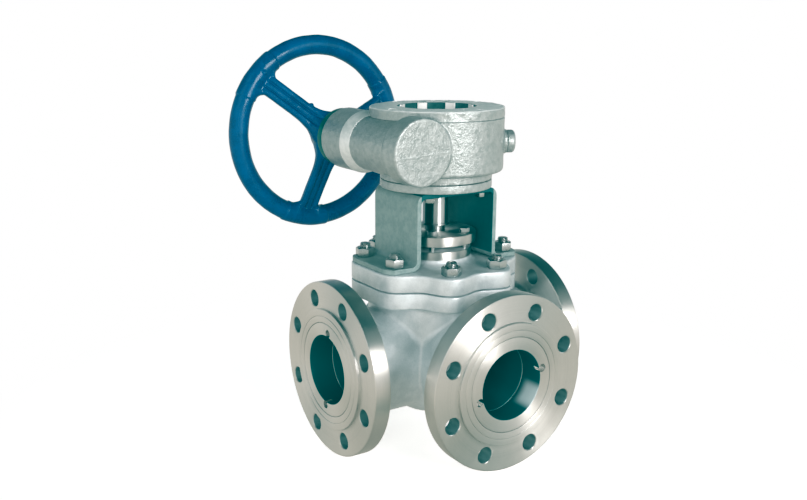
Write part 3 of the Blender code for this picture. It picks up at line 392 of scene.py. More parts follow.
def surface_quads(inside, index):
    """Faces joining the four cells around each grid edge that crosses the surface."""
    cells = np.array(index.shape)
    faces = []
    for k in range(3):
        u, v = UNIT[(k + 1) % 3], UNIT[(k + 2) % 3]
        first = np.take(inside, range(cells[k]), axis=k)
        second = np.take(inside, range(1, cells[k] + 1), axis=k)
        at = np.argwhere(first != second)
        at = at[np.all(at < cells, axis=1) & (at @ u > 0) & (at @ v > 0)]
        quad = np.stack([index[tuple(q.T)] for q in (at, at - u, at - u - v, at - v)], 1)
        flip = ~first[tuple(at.T)]
        quad[flip] = quad[flip][:, ::-1]
        faces.append(quad)
    return np.vstack(faces).tolist()


def settled(field, points, cell):
    """The points moved along the slope onto the surface, and its normals there."""
    for _ in range(3):
        value, slope = field_slope(field, points)
        step = value[:, None] * slope / np.maximum((slope**2).sum(1), 1e-6)[:, None]
        length = np.linalg.norm(step, axis=1, keepdims=True)
        points = points - step * np.minimum(1, 0.4 * cell / np.maximum(length, 1e-9))
    slope = field_slope(field, points)[1]
    return points, slope / np.linalg.norm(slope, axis=1, keepdims=True)


def level_set(field, low, high, cell):
    """Quad mesh of the surface where the field is zero, with its normals."""
    low, high = np.array(low, float), np.array(high, float)
    count = np.ceil((high - low) / cell).astype(int) + 1
    grid = sample_field(field, [low[k] + cell * np.arange(count[k]) for k in range(3)])
    inside = grid < 0
    cells = count - 1
    total = np.zeros(cells, np.uint8)
    for c in CORNERS:
        total += inside[tuple(slice(c[k], c[k] + cells[k]) for k in range(3))]
    active = (total > 0) & (total < 8)
    index = np.full(cells, -1, np.int64)
    index[active] = np.arange(active.sum())
    points = low + cell * surface_points(grid, np.argwhere(active))
    points, normals = settled(field, points, cell)
    return points, surface_quads(inside, index), normals


def field_slope(field, points):
    """Field value and gradient at the points."""
    step = 0.15
    slope = np.empty_like(points)
    for k in range(3):
        shift = np.zeros(3)
        shift[k] = step
        ahead, behind = points + shift, points - shift
        slope[:, k] = (field(*ahead.T) - field(*behind.T)) / (2 * step)
    return field(*points.T), slope


def add_casting(name, field, low, high, cell, material, body="valve", replaces=None):
    """One visible cast piece, whose surface is where the field is zero between low and high."""
    points, faces, normals = level_set(field, low, high, cell)
    mesh = bpy.data.meshes.new(name)
    mesh.from_pydata(to_scene(points), [], faces)
    mesh.shade_smooth()
    mesh.normals_split_custom_set_from_vertices(normals.tolist())
    mesh.materials.append(material)
    assign(new_object(name, mesh), body, replaces)


# ---- Materials ----

LATHE_FEED = 1.3
PORT_MM = (0.0, 0.0, PORT_HEIGHT)
# Painted shade: dark teal on the walls of the port bores
BORE_PAINTED_SHADE = (0.01, 0.10, 0.105)
# Painted highlight: pale colour of a streak low in the front bore
PAINTED_HIGHLIGHT_TINT = (0.62, 0.72, 0.73)
# Direction of the painted highlight streak from the axis of the front bore
PAINTED_HIGHLIGHT_AT = (0.84, 0, -0.54)


def feed(tree, made, inputs):
    """Links or sets the inputs of a node."""
    for key, value in inputs.items():
        if isinstance(value, bpy.types.NodeSocket):
            tree.links.new(value, made.inputs[key])
        else:
            made.inputs[key].default_value = value


def node(tree, kind, inputs=None, **settings):
    made = tree.nodes.new("ShaderNode" + kind)
    for key, value in settings.items():
        setattr(made, key, value)
    feed(tree, made, inputs or {})
    return made


def maths(tree, operation, a, b=0.0):
    return node(tree, "Math", {0: a, 1: b}, operation=operation).outputs[0]


def noise(tree, place, wavelength, detail=3.0, roughness=0.55, dimensions="3D"):
    """Noise from 0 to 1 whose features are about this many millimetres across."""
    key = "W" if dimensions == "1D" else "Vector"
    inputs = {key: place, "Scale": 1 / wavelength, "Detail": detail, "Roughness": roughness}
    return node(tree, "TexNoise", inputs, noise_dimensions=dimensions).outputs["Fac"]


def spread(tree, value, start=0.35, end=0.65, low=0.0, high=1.0):
    """Smooth step from low, where the value is start, to high, where it is end."""
    inputs = {0: value, 1: start, 2: end, 3: low, 4: high}
    return node(tree, "MapRange", inputs, interpolation_type="SMOOTHSTEP").outputs[0]


def mixed(tree, factor, a, b):
    return node(tree, "Mix", {0: factor, 6: a, 7: b}, data_type="RGBA").outputs[2]


def vectors(tree, operation, a, b=(0, 0, 0)):
    """Vector operation; a length or a dot product gives a value."""
    made = node(tree, "VectorMath", {0: a, 1: b}, operation=operation)
    return made.outputs[1 if operation in ("LENGTH", "DOT_PRODUCT") else 0]


def reach(tree, place, weights, centre):
    """Length of the weighted offset from the centre, in millimetres."""
    offset = vectors(tree, "SUBTRACT", place, centre)
    return vectors(tree, "LENGTH", vectors(tree, "MULTIPLY", offset, weights))


def average(tree, a, b, share=0.5):
    """Weighted mean of two values; share is the weight of the second."""
    first = maths(tree, "MULTIPLY", a, 1 - share)
    return maths(tree, "ADD", first, maths(tree, "MULTIPLY", b, share))


def bolt_hole_painted_shade(tree, place, weights, depth):
    """Mask of painted shade: 0.78 on the walls of the eight bolt holes around the axis that weights
    leaves out.
    """
    local = vectors(tree, "SUBTRACT", place, PORT_MM)
    parts = node(tree, "SeparateXYZ", {0: local}).outputs
    turn = maths(tree, "ARCTAN2", *[part for part, weight in zip(parts, weights) if weight])
    half = pi / 8
    off = maths(tree, "SUBTRACT", half, maths(tree, "PINGPONG", turn, half))
    double = maths(tree, "MULTIPLY", depth, 2 * BOLT_CIRCLE_R)
    across = maths(tree, "MULTIPLY", double, maths(tree, "COSINE", off))
    square = maths(tree, "ADD", maths(tree, "MULTIPLY", depth, depth), BOLT_CIRCLE_R**2)
    gap = maths(tree, "SQRT", maths(tree, "SUBTRACT", square, across))
    return spread(tree, gap, BOLT_HOLE_R + 0.05, BOLT_HOLE_R + 0.45, 0.78, 0.0)


def painted_highlight_streak(tree, place, weights):
    """Mask of a painted highlight: 1 along a streak low on the wall of the front bore, outside its
    groove.
    """
    flat = vectors(tree, "MULTIPLY", vectors(tree, "SUBTRACT", place, PORT_MM), weights)
    dot = vectors(tree, "DOT_PRODUCT", vectors(tree, "NORMALIZE", flat), PAINTED_HIGHLIGHT_AT)
    streak = spread(tree, dot, 0.90, 0.995)
    along = reach(tree, place, [1.0 - weight for weight in weights], PORT_MM)
    return maths(tree, "MULTIPLY", streak, spread(tree, along, 115.0, 128.0))


def lathe_marks(tree, shader, place, tone, turned):
    """Tone with fine rings in it, on a shader whose highlights run along those rings."""
    axis, centre = turned
    across = [0.0 if letter == axis else 1.0 for letter in "XYZ"]
    along = [1.0 - weight for weight in across]
    path = maths(
        tree, "ADD", reach(tree, place, across, centre), reach(tree, place, along, centre)
    )
    fine = noise(tree, path, LATHE_FEED, 4.0, 0.7, "1D")
    broad = noise(tree, path, 6 * LATHE_FEED, 2.0, 0.5, "1D")
    tangent = node(tree, "Tangent", direction_type="RADIAL", axis=axis).outputs[0]
    feed(tree, shader, {"Anisotropic": 0.9, "Anisotropic Rotation": 0.25, "Tangent": tangent})
    return average(tree, tone, average(tree, fine, broad))


def shaded(tree, shader, place, colour, shade, hole_shade_and_highlight):
    """Colour with painted light and shade in it: the part near the given line or plane takes the
    tint, where the shader is also less metallic.
    """
    weights, centre, limit, tint = shade
    depth = reach(tree, place, weights, centre)
    inside = spread(tree, depth, limit - 0.3, limit + 0.3, 1.0, 0.0)
    tint = (*tint, 1)
    if hole_shade_and_highlight:
        # Painted highlight: a pale streak low in the front bore; painted shade on the bolt-hole
        # walls.
        painted_highlight_mask = maths(tree, "MULTIPLY", inside, painted_highlight_streak(tree, place, weights))
        tint = mixed(tree, painted_highlight_mask, tint, (*PAINTED_HIGHLIGHT_TINT, 1))
        inside = maths(tree, "MAXIMUM", inside, bolt_hole_painted_shade(tree, place, weights, depth))
    metallic = shader.inputs["Metallic"].default_value
    sheen = spread(tree, inside, 0.0, 1.0, metallic, 0.4 * metallic)
    tree.links.new(sheen, shader.inputs["Metallic"])
    return mixed(tree, inside, colour, tint)


def make_material(
    name, dark, light, rough, metallic, patch=18.0, grains=(), turned=None, coat=0.0,
    specular=0.5, shade=None, hole_shade_and_highlight=False,
):
    """Procedural finish.

    dark and light are mixed over patches, grains are (wavelength, height) pairs of bumps in mm,
    turned is the (axis, centre) of a surface cut on a lathe, and shade is the (weights, centre,
    limit, colour) of a part closer than the limit to a line or a plane, which takes that colour
    as painted light and shade: a dark colour there is painted shade, a pale one painted light.
    With the bolt-hole flag set, the walls of a flange's bolt holes take that colour too, as
    painted shade, and a pale painted highlight streak is laid low in the front bore.
    """
    made = bpy.data.materials.new(name)
    made.use_nodes = True
    tree = made.node_tree
    shader = tree.nodes["Principled BSDF"]
    shader.inputs["Metallic"].default_value = metallic
    coordinates = node(tree, "TexCoord").outputs["Object"]
    place = vectors(tree, "MULTIPLY", coordinates, (1000.0, 1000.0, 1000.0))
    tone = average(tree, noise(tree, place, patch), noise(tree, place, patch / 9), 0.3)
    layers = [maths(tree, "MULTIPLY", noise(tree, place, wide), tall) for wide, tall in grains]
    if turned:
        tone = lathe_marks(tree, shader, place, tone, turned)
    colour = mixed(tree, spread(tree, tone), (*dark, 1), (*light, 1))
    if shade:
        colour = shaded(tree, shader, place, colour, shade, hole_shade_and_highlight)
    finish = {
        "Base Color": colour,
        "Roughness": spread(tree, tone, low=rough[0], high=rough[1]),
        "Specular IOR Level": specular,
        "Coat Weight": coat,
        "Coat Roughness": 0.08,
    }
    if layers:
        height = layers[0]
        for layer in layers[1:]:
            height = maths(tree, "ADD", height, layer)
        bump = node(tree, "Bump", {"Height": height, "Distance": MM})
        finish["Normal"] = bump.outputs[0]
    feed(tree, shader, finish)
    return made


WARM_DARK, WARM_LIGHT = (0.65, 0.635, 0.60), (0.72, 0.705, 0.67)
COOL_DARK, COOL_LIGHT = (0.56, 0.60, 0.61), (0.68, 0.72, 0.73)

CAST = make_material(
    "cast_steel", COOL_DARK, COOL_LIGHT, (0.40, 0.50), 0.55,
    patch=14, grains=((0.9, 0.06), (3.5, 0.06), (14, 0.15)),
)
# The X and Y steels paint shade on their bore and bolt-hole walls; Y also paints a highlight streak
# low in the front bore.
TURNED = {
    axis: make_material(
        f"turned_steel_{axis.lower()}", WARM_DARK, WARM_LIGHT, (0.36, 0.42), 1.0,
        patch=40, turned=(axis, PORT_MM),
        shade=None if axis == "Z" else (weights, PORT_MM, BORE_R + 0.5, BORE_PAINTED_SHADE),
        hole_shade_and_highlight=axis != "Z",
    )
    for axis, weights in (("X", (0, 1, 1)), ("Y", (1, 0, 1)), ("Z", None))
}
BRIGHT = make_material(
    "bright_steel", (0.40, 0.42, 0.415), (0.52, 0.54, 0.53), (0.26, 0.32), 1.0,
    patch=30,
)
SHAFT_STEEL = make_material(
    "shaft_steel", (0.46, 0.48, 0.475), (0.54, 0.56, 0.55), (0.30, 0.36), 1.0,
    patch=30, turned=("Z", PORT_MM),
)
# Polished steel with painted shade: a dark teal base for the ball deep inside the bores.
BALL_STEEL_PAINTED_SHADE = make_material(
    "polished_steel_painted_shade", (0.14, 0.24, 0.24), (0.20, 0.30, 0.30), (0.12, 0.2), 1.0,
    patch=20,
)


def gear_paint(name, shade=None):
    return make_material(
        name, (0.33, 0.36, 0.35), (0.44, 0.47, 0.46), (0.28, 0.42), 0.6,
        patch=6, grains=((1.0, 0.22), (2.2, 0.50), (5.0, 0.30)), shade=shade,
    )


GEAR_PAINT = gear_paint("gear_casting_paint")
# Painted light: the cover's top face is paler than its sides.
COVER_PAINTED_LIGHT = gear_paint(
    "cover_paint_painted_light",
    ((0, 0, 1), (0.0, 0.0, PORT_HEIGHT + COVER_TOP), 1.5, (0.62, 0.655, 0.64)),
)
# Painted shade: the inner faces between the plate's walls are dark teal.
BRACKET_PAINT_SHADE_INSIDE = make_material(
    "bracket_paint_painted_shade", (0.20, 0.26, 0.25), (0.28, 0.34, 0.33), (0.4, 0.55),
    0.25, patch=7, grains=((0.8, 0.10), (3.0, 0.12)),
    shade=((1, 0, 0), PORT_MM, BRACKET_OUT - FOOT_THICK + 0.4, (0.0, 0.075, 0.08)),
)
BLUE = make_material(
    "blue_enamel", (0.0, 0.052, 0.14), (0.0, 0.074, 0.195), (0.24, 0.36), 0.0,
    patch=22, grains=((3.0, 0.10), (9.0, 0.25)), coat=0.12, specular=0.35,
)
PTFE = make_material(
    "ptfe_seat", (0.70, 0.70, 0.67), (0.82, 0.82, 0.79), (0.4, 0.55), 0.0,
    patch=9, grains=((1.0, 0.01),),
)
GRAPHITE = make_material(
    "graphite_sheet", (0.02, 0.022, 0.022), (0.05, 0.055, 0.055), (0.5, 0.7), 0.1,
    patch=4, grains=((0.8, 0.04),),
)
BRONZE = make_material(
    "bronze_part", (0.42, 0.25, 0.09), (0.60, 0.40, 0.17), (0.25, 0.4), 1.0,
    patch=8, grains=((1.0, 0.02),),
)
# Paler paint for the cone band on the worm tube.
PALE_PAINT = make_material(
    "pale_band_paint", (0.60, 0.64, 0.63), (0.72, 0.75, 0.74), (0.28, 0.4), 0.4,
    patch=6, grains=((0.8, 0.10), (2.5, 0.15)),
)
# Painted shade: near-black cups in the cover's blind holes.
HOLE_PAINTED_SHADE = make_material(
    "painted_hole_shade", (0.01, 0.05, 0.045), (0.03, 0.09, 0.08), (0.4, 0.6), 0.0,
    patch=4,
)
# Painted shade: the recess round the cover's opening is dark teal; the lands, nearer the axis, are
# pale.
RECESS_PAINTED_SHADE = make_material(
    "machined_recess_painted_shade", (0.03, 0.09, 0.09), (0.07, 0.14, 0.14), (0.3, 0.45), 0.3,
    patch=12, shade=((1, 1, 0), PORT_MM, OPENING_R - 1.2, (0.80, 0.80, 0.78)),
)
SEAL = make_material(
    "dark_seal_rubber", (0.0, 0.06, 0.052), (0.0, 0.11, 0.095), (0.35, 0.5), 0.0,
    patch=6, grains=((1.0, 0.03),),
)


# ---- Body ----


def body_field(x, y, z):
    """Cast body without its flanges: run, branch, bowl and rear boss, hollowed for the ball."""
    neck, end = NECK_R - 0.05, 114.0
    run = np.maximum(np.hypot(y, z) - neck, np.abs(x) - end)
    branch = np.maximum(np.hypot(x, z) - neck, np.maximum(y, -y - end))
    bowl = np.sqrt(x * x + y * y + np.minimum(z, 0) ** 2) - BOWL_R
    bowl = np.maximum(bowl, z - 66.0)
    rear = blend_common(np.hypot(x, z) - NECK_R + 0.4, np.maximum(y - 80.0, -y), 5.0)
    solid = blend_union(blend_union(run, branch, 3.0), bowl, 4.0)
    solid = blend_union(solid, rear, 4.0)
    solid = blend_common(solid, -PORT_HEIGHT - z, 1.6)
    bore = RETAINER_R + 0.6
    bores = np.minimum(np.hypot(y, z), np.where(y < 0, np.hypot(x, z), 1e3)) - bore
    pocket = np.maximum(np.hypot(x, z) - SEAT_R - 0.3, y - 61.0)
    chamber = np.sqrt(x * x + y * y + np.minimum(z, 0) ** 2) - CHAMBER_R
    hollow = np.minimum(np.minimum(bores, chamber), np.maximum(pocket, -y))
    rough = 0.10 * ripple(x, y, z, 9.0, 3) + 0.12 * ripple(x, y, z, 24.0, 5)
    return np.maximum(solid + rough, -hollow)


def lobes(count):
    """Outline radius of the joint flange and bonnet: a lobe around each stud."""
    from_x = np.arange(count) * 360.0 / count
    angle = from_x + 90.0
    on_side = np.abs((angle % 180) - 90)
    valley = np.where(on_side < 22.5, SIDE_VALLEY_R, VALLEY_R)
    lobe = 0.5 - 0.5 * np.cos(np.radians(8 * angle))
    return valley + (LOBE_R - valley) * lobe


def build_body():
    add_casting(
        "body_casting", body_field, (-116, -116, -69), (116, 82, 68), 1.7, CAST,
        replaces="valve_body",
    )
    count = 256
    edge = lobes(count)
    rows = [(CHAMBER_R + 0.4, 60.0), (BOWL_R - 1.0, 60.0), (BOWL_R + 0.06, 61.5)]
    flare, low_edge, top_edge = 5.5, 2.4, 0.9
    for s, c in quarter(4):
        rows.append((BOWL_R + 0.06 + flare * (1 - c), JOINT_LOW - flare + flare * s))
    for s, c in quarter(4):
        rows.append((edge - low_edge * (1 - s), JOINT_LOW + low_edge * (1 - c)))
    for s, c in quarter(2):
        rows.append((edge - top_edge * (1 - c), JOINT_TOP - top_edge * (1 - s)))
    rows.append((CHAMBER_R + 0.4, JOINT_TOP))
    add_piece("body_joint_flange", polar(rows, count), CAST)


def flange_shape():
    profile = [
        (RETAINER_R + 0.25, 112.0), (NECK_R, 112.0), (NECK_R, FLANGE_BACK, NECK_FILLET),
        (FLANGE_R, FLANGE_BACK, 1.5), (FLANGE_R, FLANGE_FACE, 1.4),
        (RAISED_R + 0.3, FLANGE_FACE, 0.3), (RAISED_R, FACE, 0.6),
        (GROOVE_R + 0.45, FACE, 0.1), (GROOVE_R, FACE - 0.5), (GROOVE_R - 0.45, FACE, 0.1),
        (RETAINER_R + 0.25, FACE, 0.5),
    ]
    return lathe(profile, 160)


def bolt_hole(angle):
    flare = 0.9
    profile = [
        (0, FLANGE_BACK - 2), (BOLT_HOLE_R + flare, FLANGE_BACK - 2),
        (BOLT_HOLE_R + flare, FLANGE_BACK - 0.01), (BOLT_HOLE_R, FLANGE_BACK + flare),
        (BOLT_HOLE_R, FLANGE_FACE - flare), (BOLT_HOLE_R + flare, FLANGE_FACE + 0.01),
        (BOLT_HOLE_R + flare, FLANGE_FACE + 2), (0, FLANGE_FACE + 2),
    ]
    return moved(lathe(profile, 40), shift=around(BOLT_CIRCLE_R, angle))


def cylinder(radius, low, high, count=32):
    return polar([(0, low), (radius, low), (radius, high), (0, high)], count)


def retainer_shape():
    """Seat retainer with a groove round its bore."""
    outer = RETAINER_R - 0.1
    profile = [
        (BORE_R, 60.3, 0.4), (SEAT_R, 60.3, 0.4), (SEAT_R, 119.3), (outer, 119.3),
        (outer, FACE - 0.15, 0.6), (BORE_R, FACE - 0.15, 0.5), (BORE_R, 114.8, 0.15),
        (BORE_R + 1.1, 114.8), (BORE_R + 1.1, 114.0), (BORE_R, 112.9, 0.1),
    ]
    return lathe(profile, 160)


def build_ports():
    axis_of = {"left": "X", "right": "X", "front": "Y"}
    for side, turn in PORTS.items():
        holes = [bolt_hole(22.5 + 45 * i) for i in range(8)]
        cuts = [("DIFFERENCE", moved(hole, turn)) for hole in holes]
        steel = TURNED[axis_of[side]]
        add_piece(f"flange_{side}", moved(flange_shape(), turn), steel, cuts=cuts)
        cuts = []
        for half in (0, 180):
            at = around(SPANNER_AT, SPANNER_ANGLES[side] + half)
            hole = moved(cylinder(SPANNER_R, FACE - 9, FACE + 3), shift=at)
            cuts.append(("DIFFERENCE", moved(hole, turn)))
        add_piece(
            f"retainer_{side}", moved(retainer_shape(), turn), steel,
            replaces=f"seat_retainer_{side}", cuts=cuts,
        )
        add_piece(f"soft_seat_{side}", moved(seat_shape(), turn), PTFE, replaces=f"seat_{side}")
    add_piece("soft_seat_rear", moved(seat_shape(), TO_REAR), PTFE, replaces="seat_rear")


def seat_shape():
    profile = [
        (BORE_R, 51.7, 0.3), (44.0, 47.6, 0.3), (44.0, 51.0), (SEAT_R, 51.0, 0.5),
        (SEAT_R, 60.0, 0.5), (BORE_R, 60.0, 0.4),
    ]
    return lathe(profile, 96)


def build_ball():
    flat, far = 61.0, BALL_R + 6
    arc = [radians(-90 + 163 * k / 48) for k in range(1, 49)]
    arc = [(BALL_R * cos(a), BALL_R * sin(a)) for a in arc]
    profile = [(0, -BALL_R)] + [place for place in arc if place[1] < flat]
    sphere = polar(profile + [(sqrt(BALL_R**2 - flat**2), flat), (0, flat)], 128)
    through = moved(cylinder(BORE_R, -far, far, 96), TO_RIGHT)
    side = moved(cylinder(BORE_R - 0.02, 2, far, 96), TO_FRONT)
    slot = prism([(-7.3, -25), (7.3, -25), (7.3, 25), (-7.3, 25)], 45.7, BALL_R + 1)
    cuts = [("DIFFERENCE", shape) for shape in (through, side, slot)]
    ball = add_piece("t_port_ball", sphere, BALL_STEEL_PAINTED_SHADE, "stem", "ball", cuts)
    bevel(ball, 0.5, 2, 35)


# ---- Bonnet, studs and nuts ----


def build_bonnet():
    count = 256
    edge = lobes(count)
    plug, low_edge, top_edge, skirt = CHAMBER_R - 0.3, 0.9, 2.6, 6.5
    rows = [(STEM_HOLE_R, 78.0), (plug, 78.0), (plug, BONNET_LOW)]
    for s, c in quarter(2):
        rows.append((edge - low_edge * (1 - s), BONNET_LOW + low_edge * (1 - c)))
    for s, c in quarter(5):
        rows.append((edge - top_edge * (1 - c), BONNET_TOP - top_edge * (1 - s)))
    for s, c in quarter(6):
        rows.append((BOSS_R + skirt * (1 - s), BONNET_TOP + 0.02 + skirt * (1 - c)))
    rows += [(BOSS_R, BOSS_TOP - 1.0), (BOSS_R - 0.4, BOSS_TOP - 0.3), (BOSS_R - 1.2, BOSS_TOP)]
    rows += [(18.0, BOSS_TOP), (17.0, BOSS_TOP - 1), (17.0, 97.0), (STEM_HOLE_R, 97.0)]
    add_piece("bonnet_cover", polar(rows, count), CAST, replaces="bonnet")
    band = lathe(
        [(BOSS_R - 3, 114.0), (BOSS_R + 0.05, 114.0, 0.1), (BOSS_R + 0.05, BOSS_TOP - 0.2, 0.8),
         (BOSS_R - 3, BOSS_TOP + 0.05, 0.1)], 128,
    )
    add_piece("bonnet_boss_face", band, TURNED["Z"])


def hexagon(flats, count):
    """Outline radius, chamfer circle and the fall of the chamfer outside that circle."""
    angle = np.arange(count) * 360.0 / count
    edge = flats / 2 / np.cos(np.radians((angle % 60) - 30))
    circle = 0.475 * flats
    return edge, circle, np.maximum(edge - circle, 0) * tan(radians(28))


def nut_shape(flats, bore, high, count=72):
    """Nut standing on z = 0 with chamfered corners and a countersunk bore."""
    edge, circle, fall = hexagon(flats, count)
    rows = [
        (bore + 0.8, 0), (circle - 0.15, 0), (edge - 0.1, fall + 0.05), (edge, fall + 0.3),
        (edge, high - fall - 0.3), (edge - 0.1, high - fall - 0.05), (circle - 0.15, high),
        (bore + 1.0, high), (bore, high - 1.0), (bore, 0.8),
    ]
    return polar(rows, count)


def thread_rows(radius, pitch, low, high, count):
    """Rows of a screw thread from low to high, with a chamfered end."""
    depth = 0.55 * pitch
    turns = np.arange(count) / count
    rows = []
    steps = max(2, int(ceil((high - low) / pitch * 6)))
    for k in range(steps + 1):
        z = low + (high - low) * k / steps
        phase = (z / pitch - turns) % 1.0
        groove = np.clip(1.25 - 3.2 * np.abs(phase - 0.5), 0, 1)
        end = max(0.0, z - (high - 0.9))
        rows.append((np.minimum(radius - depth * groove, radius - end), z))
    return rows


def stud_shape(radius, low, thread_from, high, count=36):
    rows = [(0, low), (radius - 0.5, low), (radius - 0.5, thread_from)]
    rows += thread_rows(radius, 1.75, thread_from + 0.1, high, count)
    rows += [(radius - 1.6, high + 0.25), (0, high + 0.3)]
    return polar(rows, count)


def build_studs():
    for i in range(8):
        place = around(STUD_CIRCLE_R, 22.5 + 45 * i)
        seat = BONNET_TOP + 0.15
        if abs(place[0]) > BRACKET_OUT:
            seat += FOOT_THICK + 0.4
        top = seat + 10.0
        add_piece(
            f"stud_{i + 1}", moved(stud_shape(6.0, 72.5, top - 2, top + 4.9), shift=place), BRIGHT,
            replaces=f"bonnet_stud_{i + 1}",
        )
        spin = rotation((37 * i + 12) % 60, "Z")
        nut = moved(nut_shape(19.0, 6.1, 10.0), spin, place + np.array((0, 0, seat)))
        add_piece(f"nut_{i + 1}", nut, BRIGHT, replaces=f"bonnet_nut_{i + 1}")


# ---- Stem and stuffing box ----


def bolt_shape(radius, length, flats, head, count=72):
    """Bolt with its head above z = 0 and its shank below."""
    edge, circle, fall = hexagon(flats, count)
    rows = [
        (0, -length), (radius, -length), (radius, -0.02), (circle, 0), (edge, 0.25),
        (edge, head - fall - 0.25), (edge - 0.1, head - fall), (circle - 0.15, head),
        (circle - 0.6, head), (0, head - 0.05),
    ]
    return polar(rows, count)


def build_stuffing_box():
    stem = [
        (0, 62.5), (22.0, 62.5, 0.6), (22.0, 74.0, 0.6), (STEM_R, 74.0, 0.3), (STEM_R, 149.0),
        (0, 149.0),
    ]
    square = prism([(-7.5, -7.5), (7.5, -7.5), (7.5, 7.5), (-7.5, 7.5)], 146.0, 194.0)
    tongue = prism([(-7, -20), (7, -20), (7, 20), (-7, 20)], 46.0, 65.0)
    add_piece(
        "stem_rod", lathe(stem, 64), SHAFT_STEEL, "stem", "stem",
        [("UNION", square), ("UNION", tongue)],
    )
    sleeve = [
        (0, COUPLING_LOW), (COUPLING_COLLAR_R, COUPLING_LOW, 0.5),
        (COUPLING_COLLAR_R, COUPLING_COLLAR_TOP, 0.5), (COUPLING_R, COUPLING_COLLAR_TOP, 0.4),
        (COUPLING_R, COUPLING_TOP, 1.0), (4.0, COUPLING_TOP, 0.3), (0, COUPLING_TOP - 2.5),
    ]
    add_piece("coupling_sleeve", lathe(sleeve, 96), SHAFT_STEEL, "stem", "drive_sleeve")
    bush_top = GLAND_LOW - 0.2
    bush = [
        (STEM_HOLE_R, BUSH_LOW), (16.7, BUSH_LOW), (16.7, BUSH_STEP), (24.0, BUSH_STEP, 0.5),
        (24.0, bush_top, 0.5), (STEM_HOLE_R, bush_top, 0.5),
    ]
    add_piece("follower_bush", lathe(bush, 80), SHAFT_STEEL, replaces="gland_bush")
    ring = [
        (11.4, GLAND_LOW, 0.8), (GLAND_R, GLAND_LOW, 0.9), (GLAND_R, GLAND_TOP, 0.9),
        (11.4, GLAND_TOP, 1.2),
    ]
    add_piece("gland_plate", lathe(ring, 128), TURNED["Z"], replaces="gland_flange")
    bolt = bolt_shape(SMALL_BOLT_R, GLAND_BOLT_LENGTH, SMALL_BOLT_FLATS, 5.5)
    for i, angle in enumerate(GLAND_BOLT_ANGLES, 1):
        place = around(GLAND_BOLT_CIRCLE_R, angle) + (0, 0, GLAND_TOP + 0.1)
        shape = moved(bolt, rotation(17 * i, "Z"), place)
        add_piece(f"gland_screw_{i}", shape, BRIGHT, replaces=f"gland_bolt_{i}")


# ---- Bracket ----


def bracket_outline():
    """Cross-section of the folded plate in (x, z)."""

    def arc(centre, radius, start, end):
        angles = [radians(start + (end - start) * k / 8) for k in range(9)]
        return [(centre[0] + radius * cos(a), centre[1] + radius * sin(a)) for a in angles]

    def side(offset):
        foot = BONNET_TOP + 0.3 + FOOT_THICK / 2
        top = BRACKET_TOP - FOOT_THICK / 2
        wall = BRACKET_OUT - FOOT_THICK / 2
        half = [(BRACKET_FOOT, foot + offset)]
        half += arc((wall + BRACKET_BEND, foot + BRACKET_BEND), BRACKET_BEND - offset, 270, 180)
        half += arc((wall - BRACKET_BEND, top - BRACKET_BEND), BRACKET_BEND + offset, 0, 90)
        return half + [(-x, z) for x, z in reversed(half)]

    return side(FOOT_THICK / 2) + side(-FOOT_THICK / 2)[::-1]


def foot_outline(inset):
    count = 192
    edge = lobes(count) - inset
    angle = np.arange(count) * 2 * pi / count
    return list(zip(edge * np.cos(angle), edge * np.sin(angle)))


def build_bracket():
    plate = moved(prism(bracket_outline(), -BRACKET_HALF, BRACKET_HALF), rotation(90, "X"))
    keep = prism(foot_outline(1.2), BONNET_TOP - 5, BRACKET_TOP + 5)
    hole = cylinder(20, 170, 200, 64)
    bracket = add_piece(
        "folded_bracket", plate, BRACKET_PAINT_SHADE_INSIDE, replaces="bracket",
        cuts=[("INTERSECT", keep), ("DIFFERENCE", hole)],
    )
    bevel(bracket, 0.7, 3, 50)
    screw = bolt_shape(SMALL_BOLT_R, BRACKET_SCREW_LENGTH, SMALL_BOLT_FLATS, 5.0)
    for i, angle in enumerate(BRACKET_SCREW_ANGLES, 1):
        place = around(BRACKET_SCREW_CIRCLE_R, angle) + (0, 0, BRACKET_TOP - FOOT_THICK - 0.15)
        shape = moved(screw, rotation(180, "X") @ rotation(11 * i, "Z"), place)
        add_piece(f"plate_screw_{i}", shape, BRIGHT, replaces=f"bracket_screw_{i}")


# ---- Gearbox ----


def housing_field(x, y, z):
    drum = blend_common(np.hypot(x, y) - DRUM_R, DRUM_LOW - z, 3.5)
    drum = blend_common(drum, z - DRUM_TOP, 0.5)
    foot = np.maximum(np.hypot(x, y) - DISC_R, FOOT_LOW - z)
    foot = np.maximum(blend_common(foot, FOOT_LOW - z, 0.8), z - 230)
    off = np.hypot(x - WORM_X, z - WORM_Z)
    tube = 0.94 * (off - np.interp(y, *TUBE_PROFILE))
    tube = blend_common(tube, np.maximum(TUBE_FRONT - y, y - TUBE_REAR), 2.2)
    seam = WORM_Z - 3.0 + 0.06 * (x - WORM_X)
    tube = tube - 0.14 * np.exp(-(((z - seam) / 0.8) ** 2)) * (y < -60.0)
    solid = blend_union(np.minimum(drum, foot), tube, 1.8)
    for angle in STOP_ANGLES.values():
        along, across = turned_to(angle, x, y)
        boss = np.hypot(across, z - WORM_Z) - 13.2
        boss = blend_common(boss, np.maximum(along - 78.0, 50.0 - along), 1.5)
        solid = blend_union(solid, boss, 3.0)
    cover_room = np.maximum(np.hypot(x, y) - DRUM_R - 0.3, DRUM_TOP - z)
    solid = np.maximum(solid, -cover_room)
    rough = 0.05 * ripple(x, y, z, 4.2, 11) + 0.10 * ripple(x, y, z, 9.0, 12)
    rough = rough + 0.10 * ripple(x, y, z, 28.0, 13)
    off_cover = np.maximum(DRUM_TOP - z, np.hypot(x, y) - DRUM_R - 1)
    solid = solid + rough * np.clip(off_cover / 3, 0, 1)
    return np.maximum(solid, -housing_hollow(x, y, z, off))


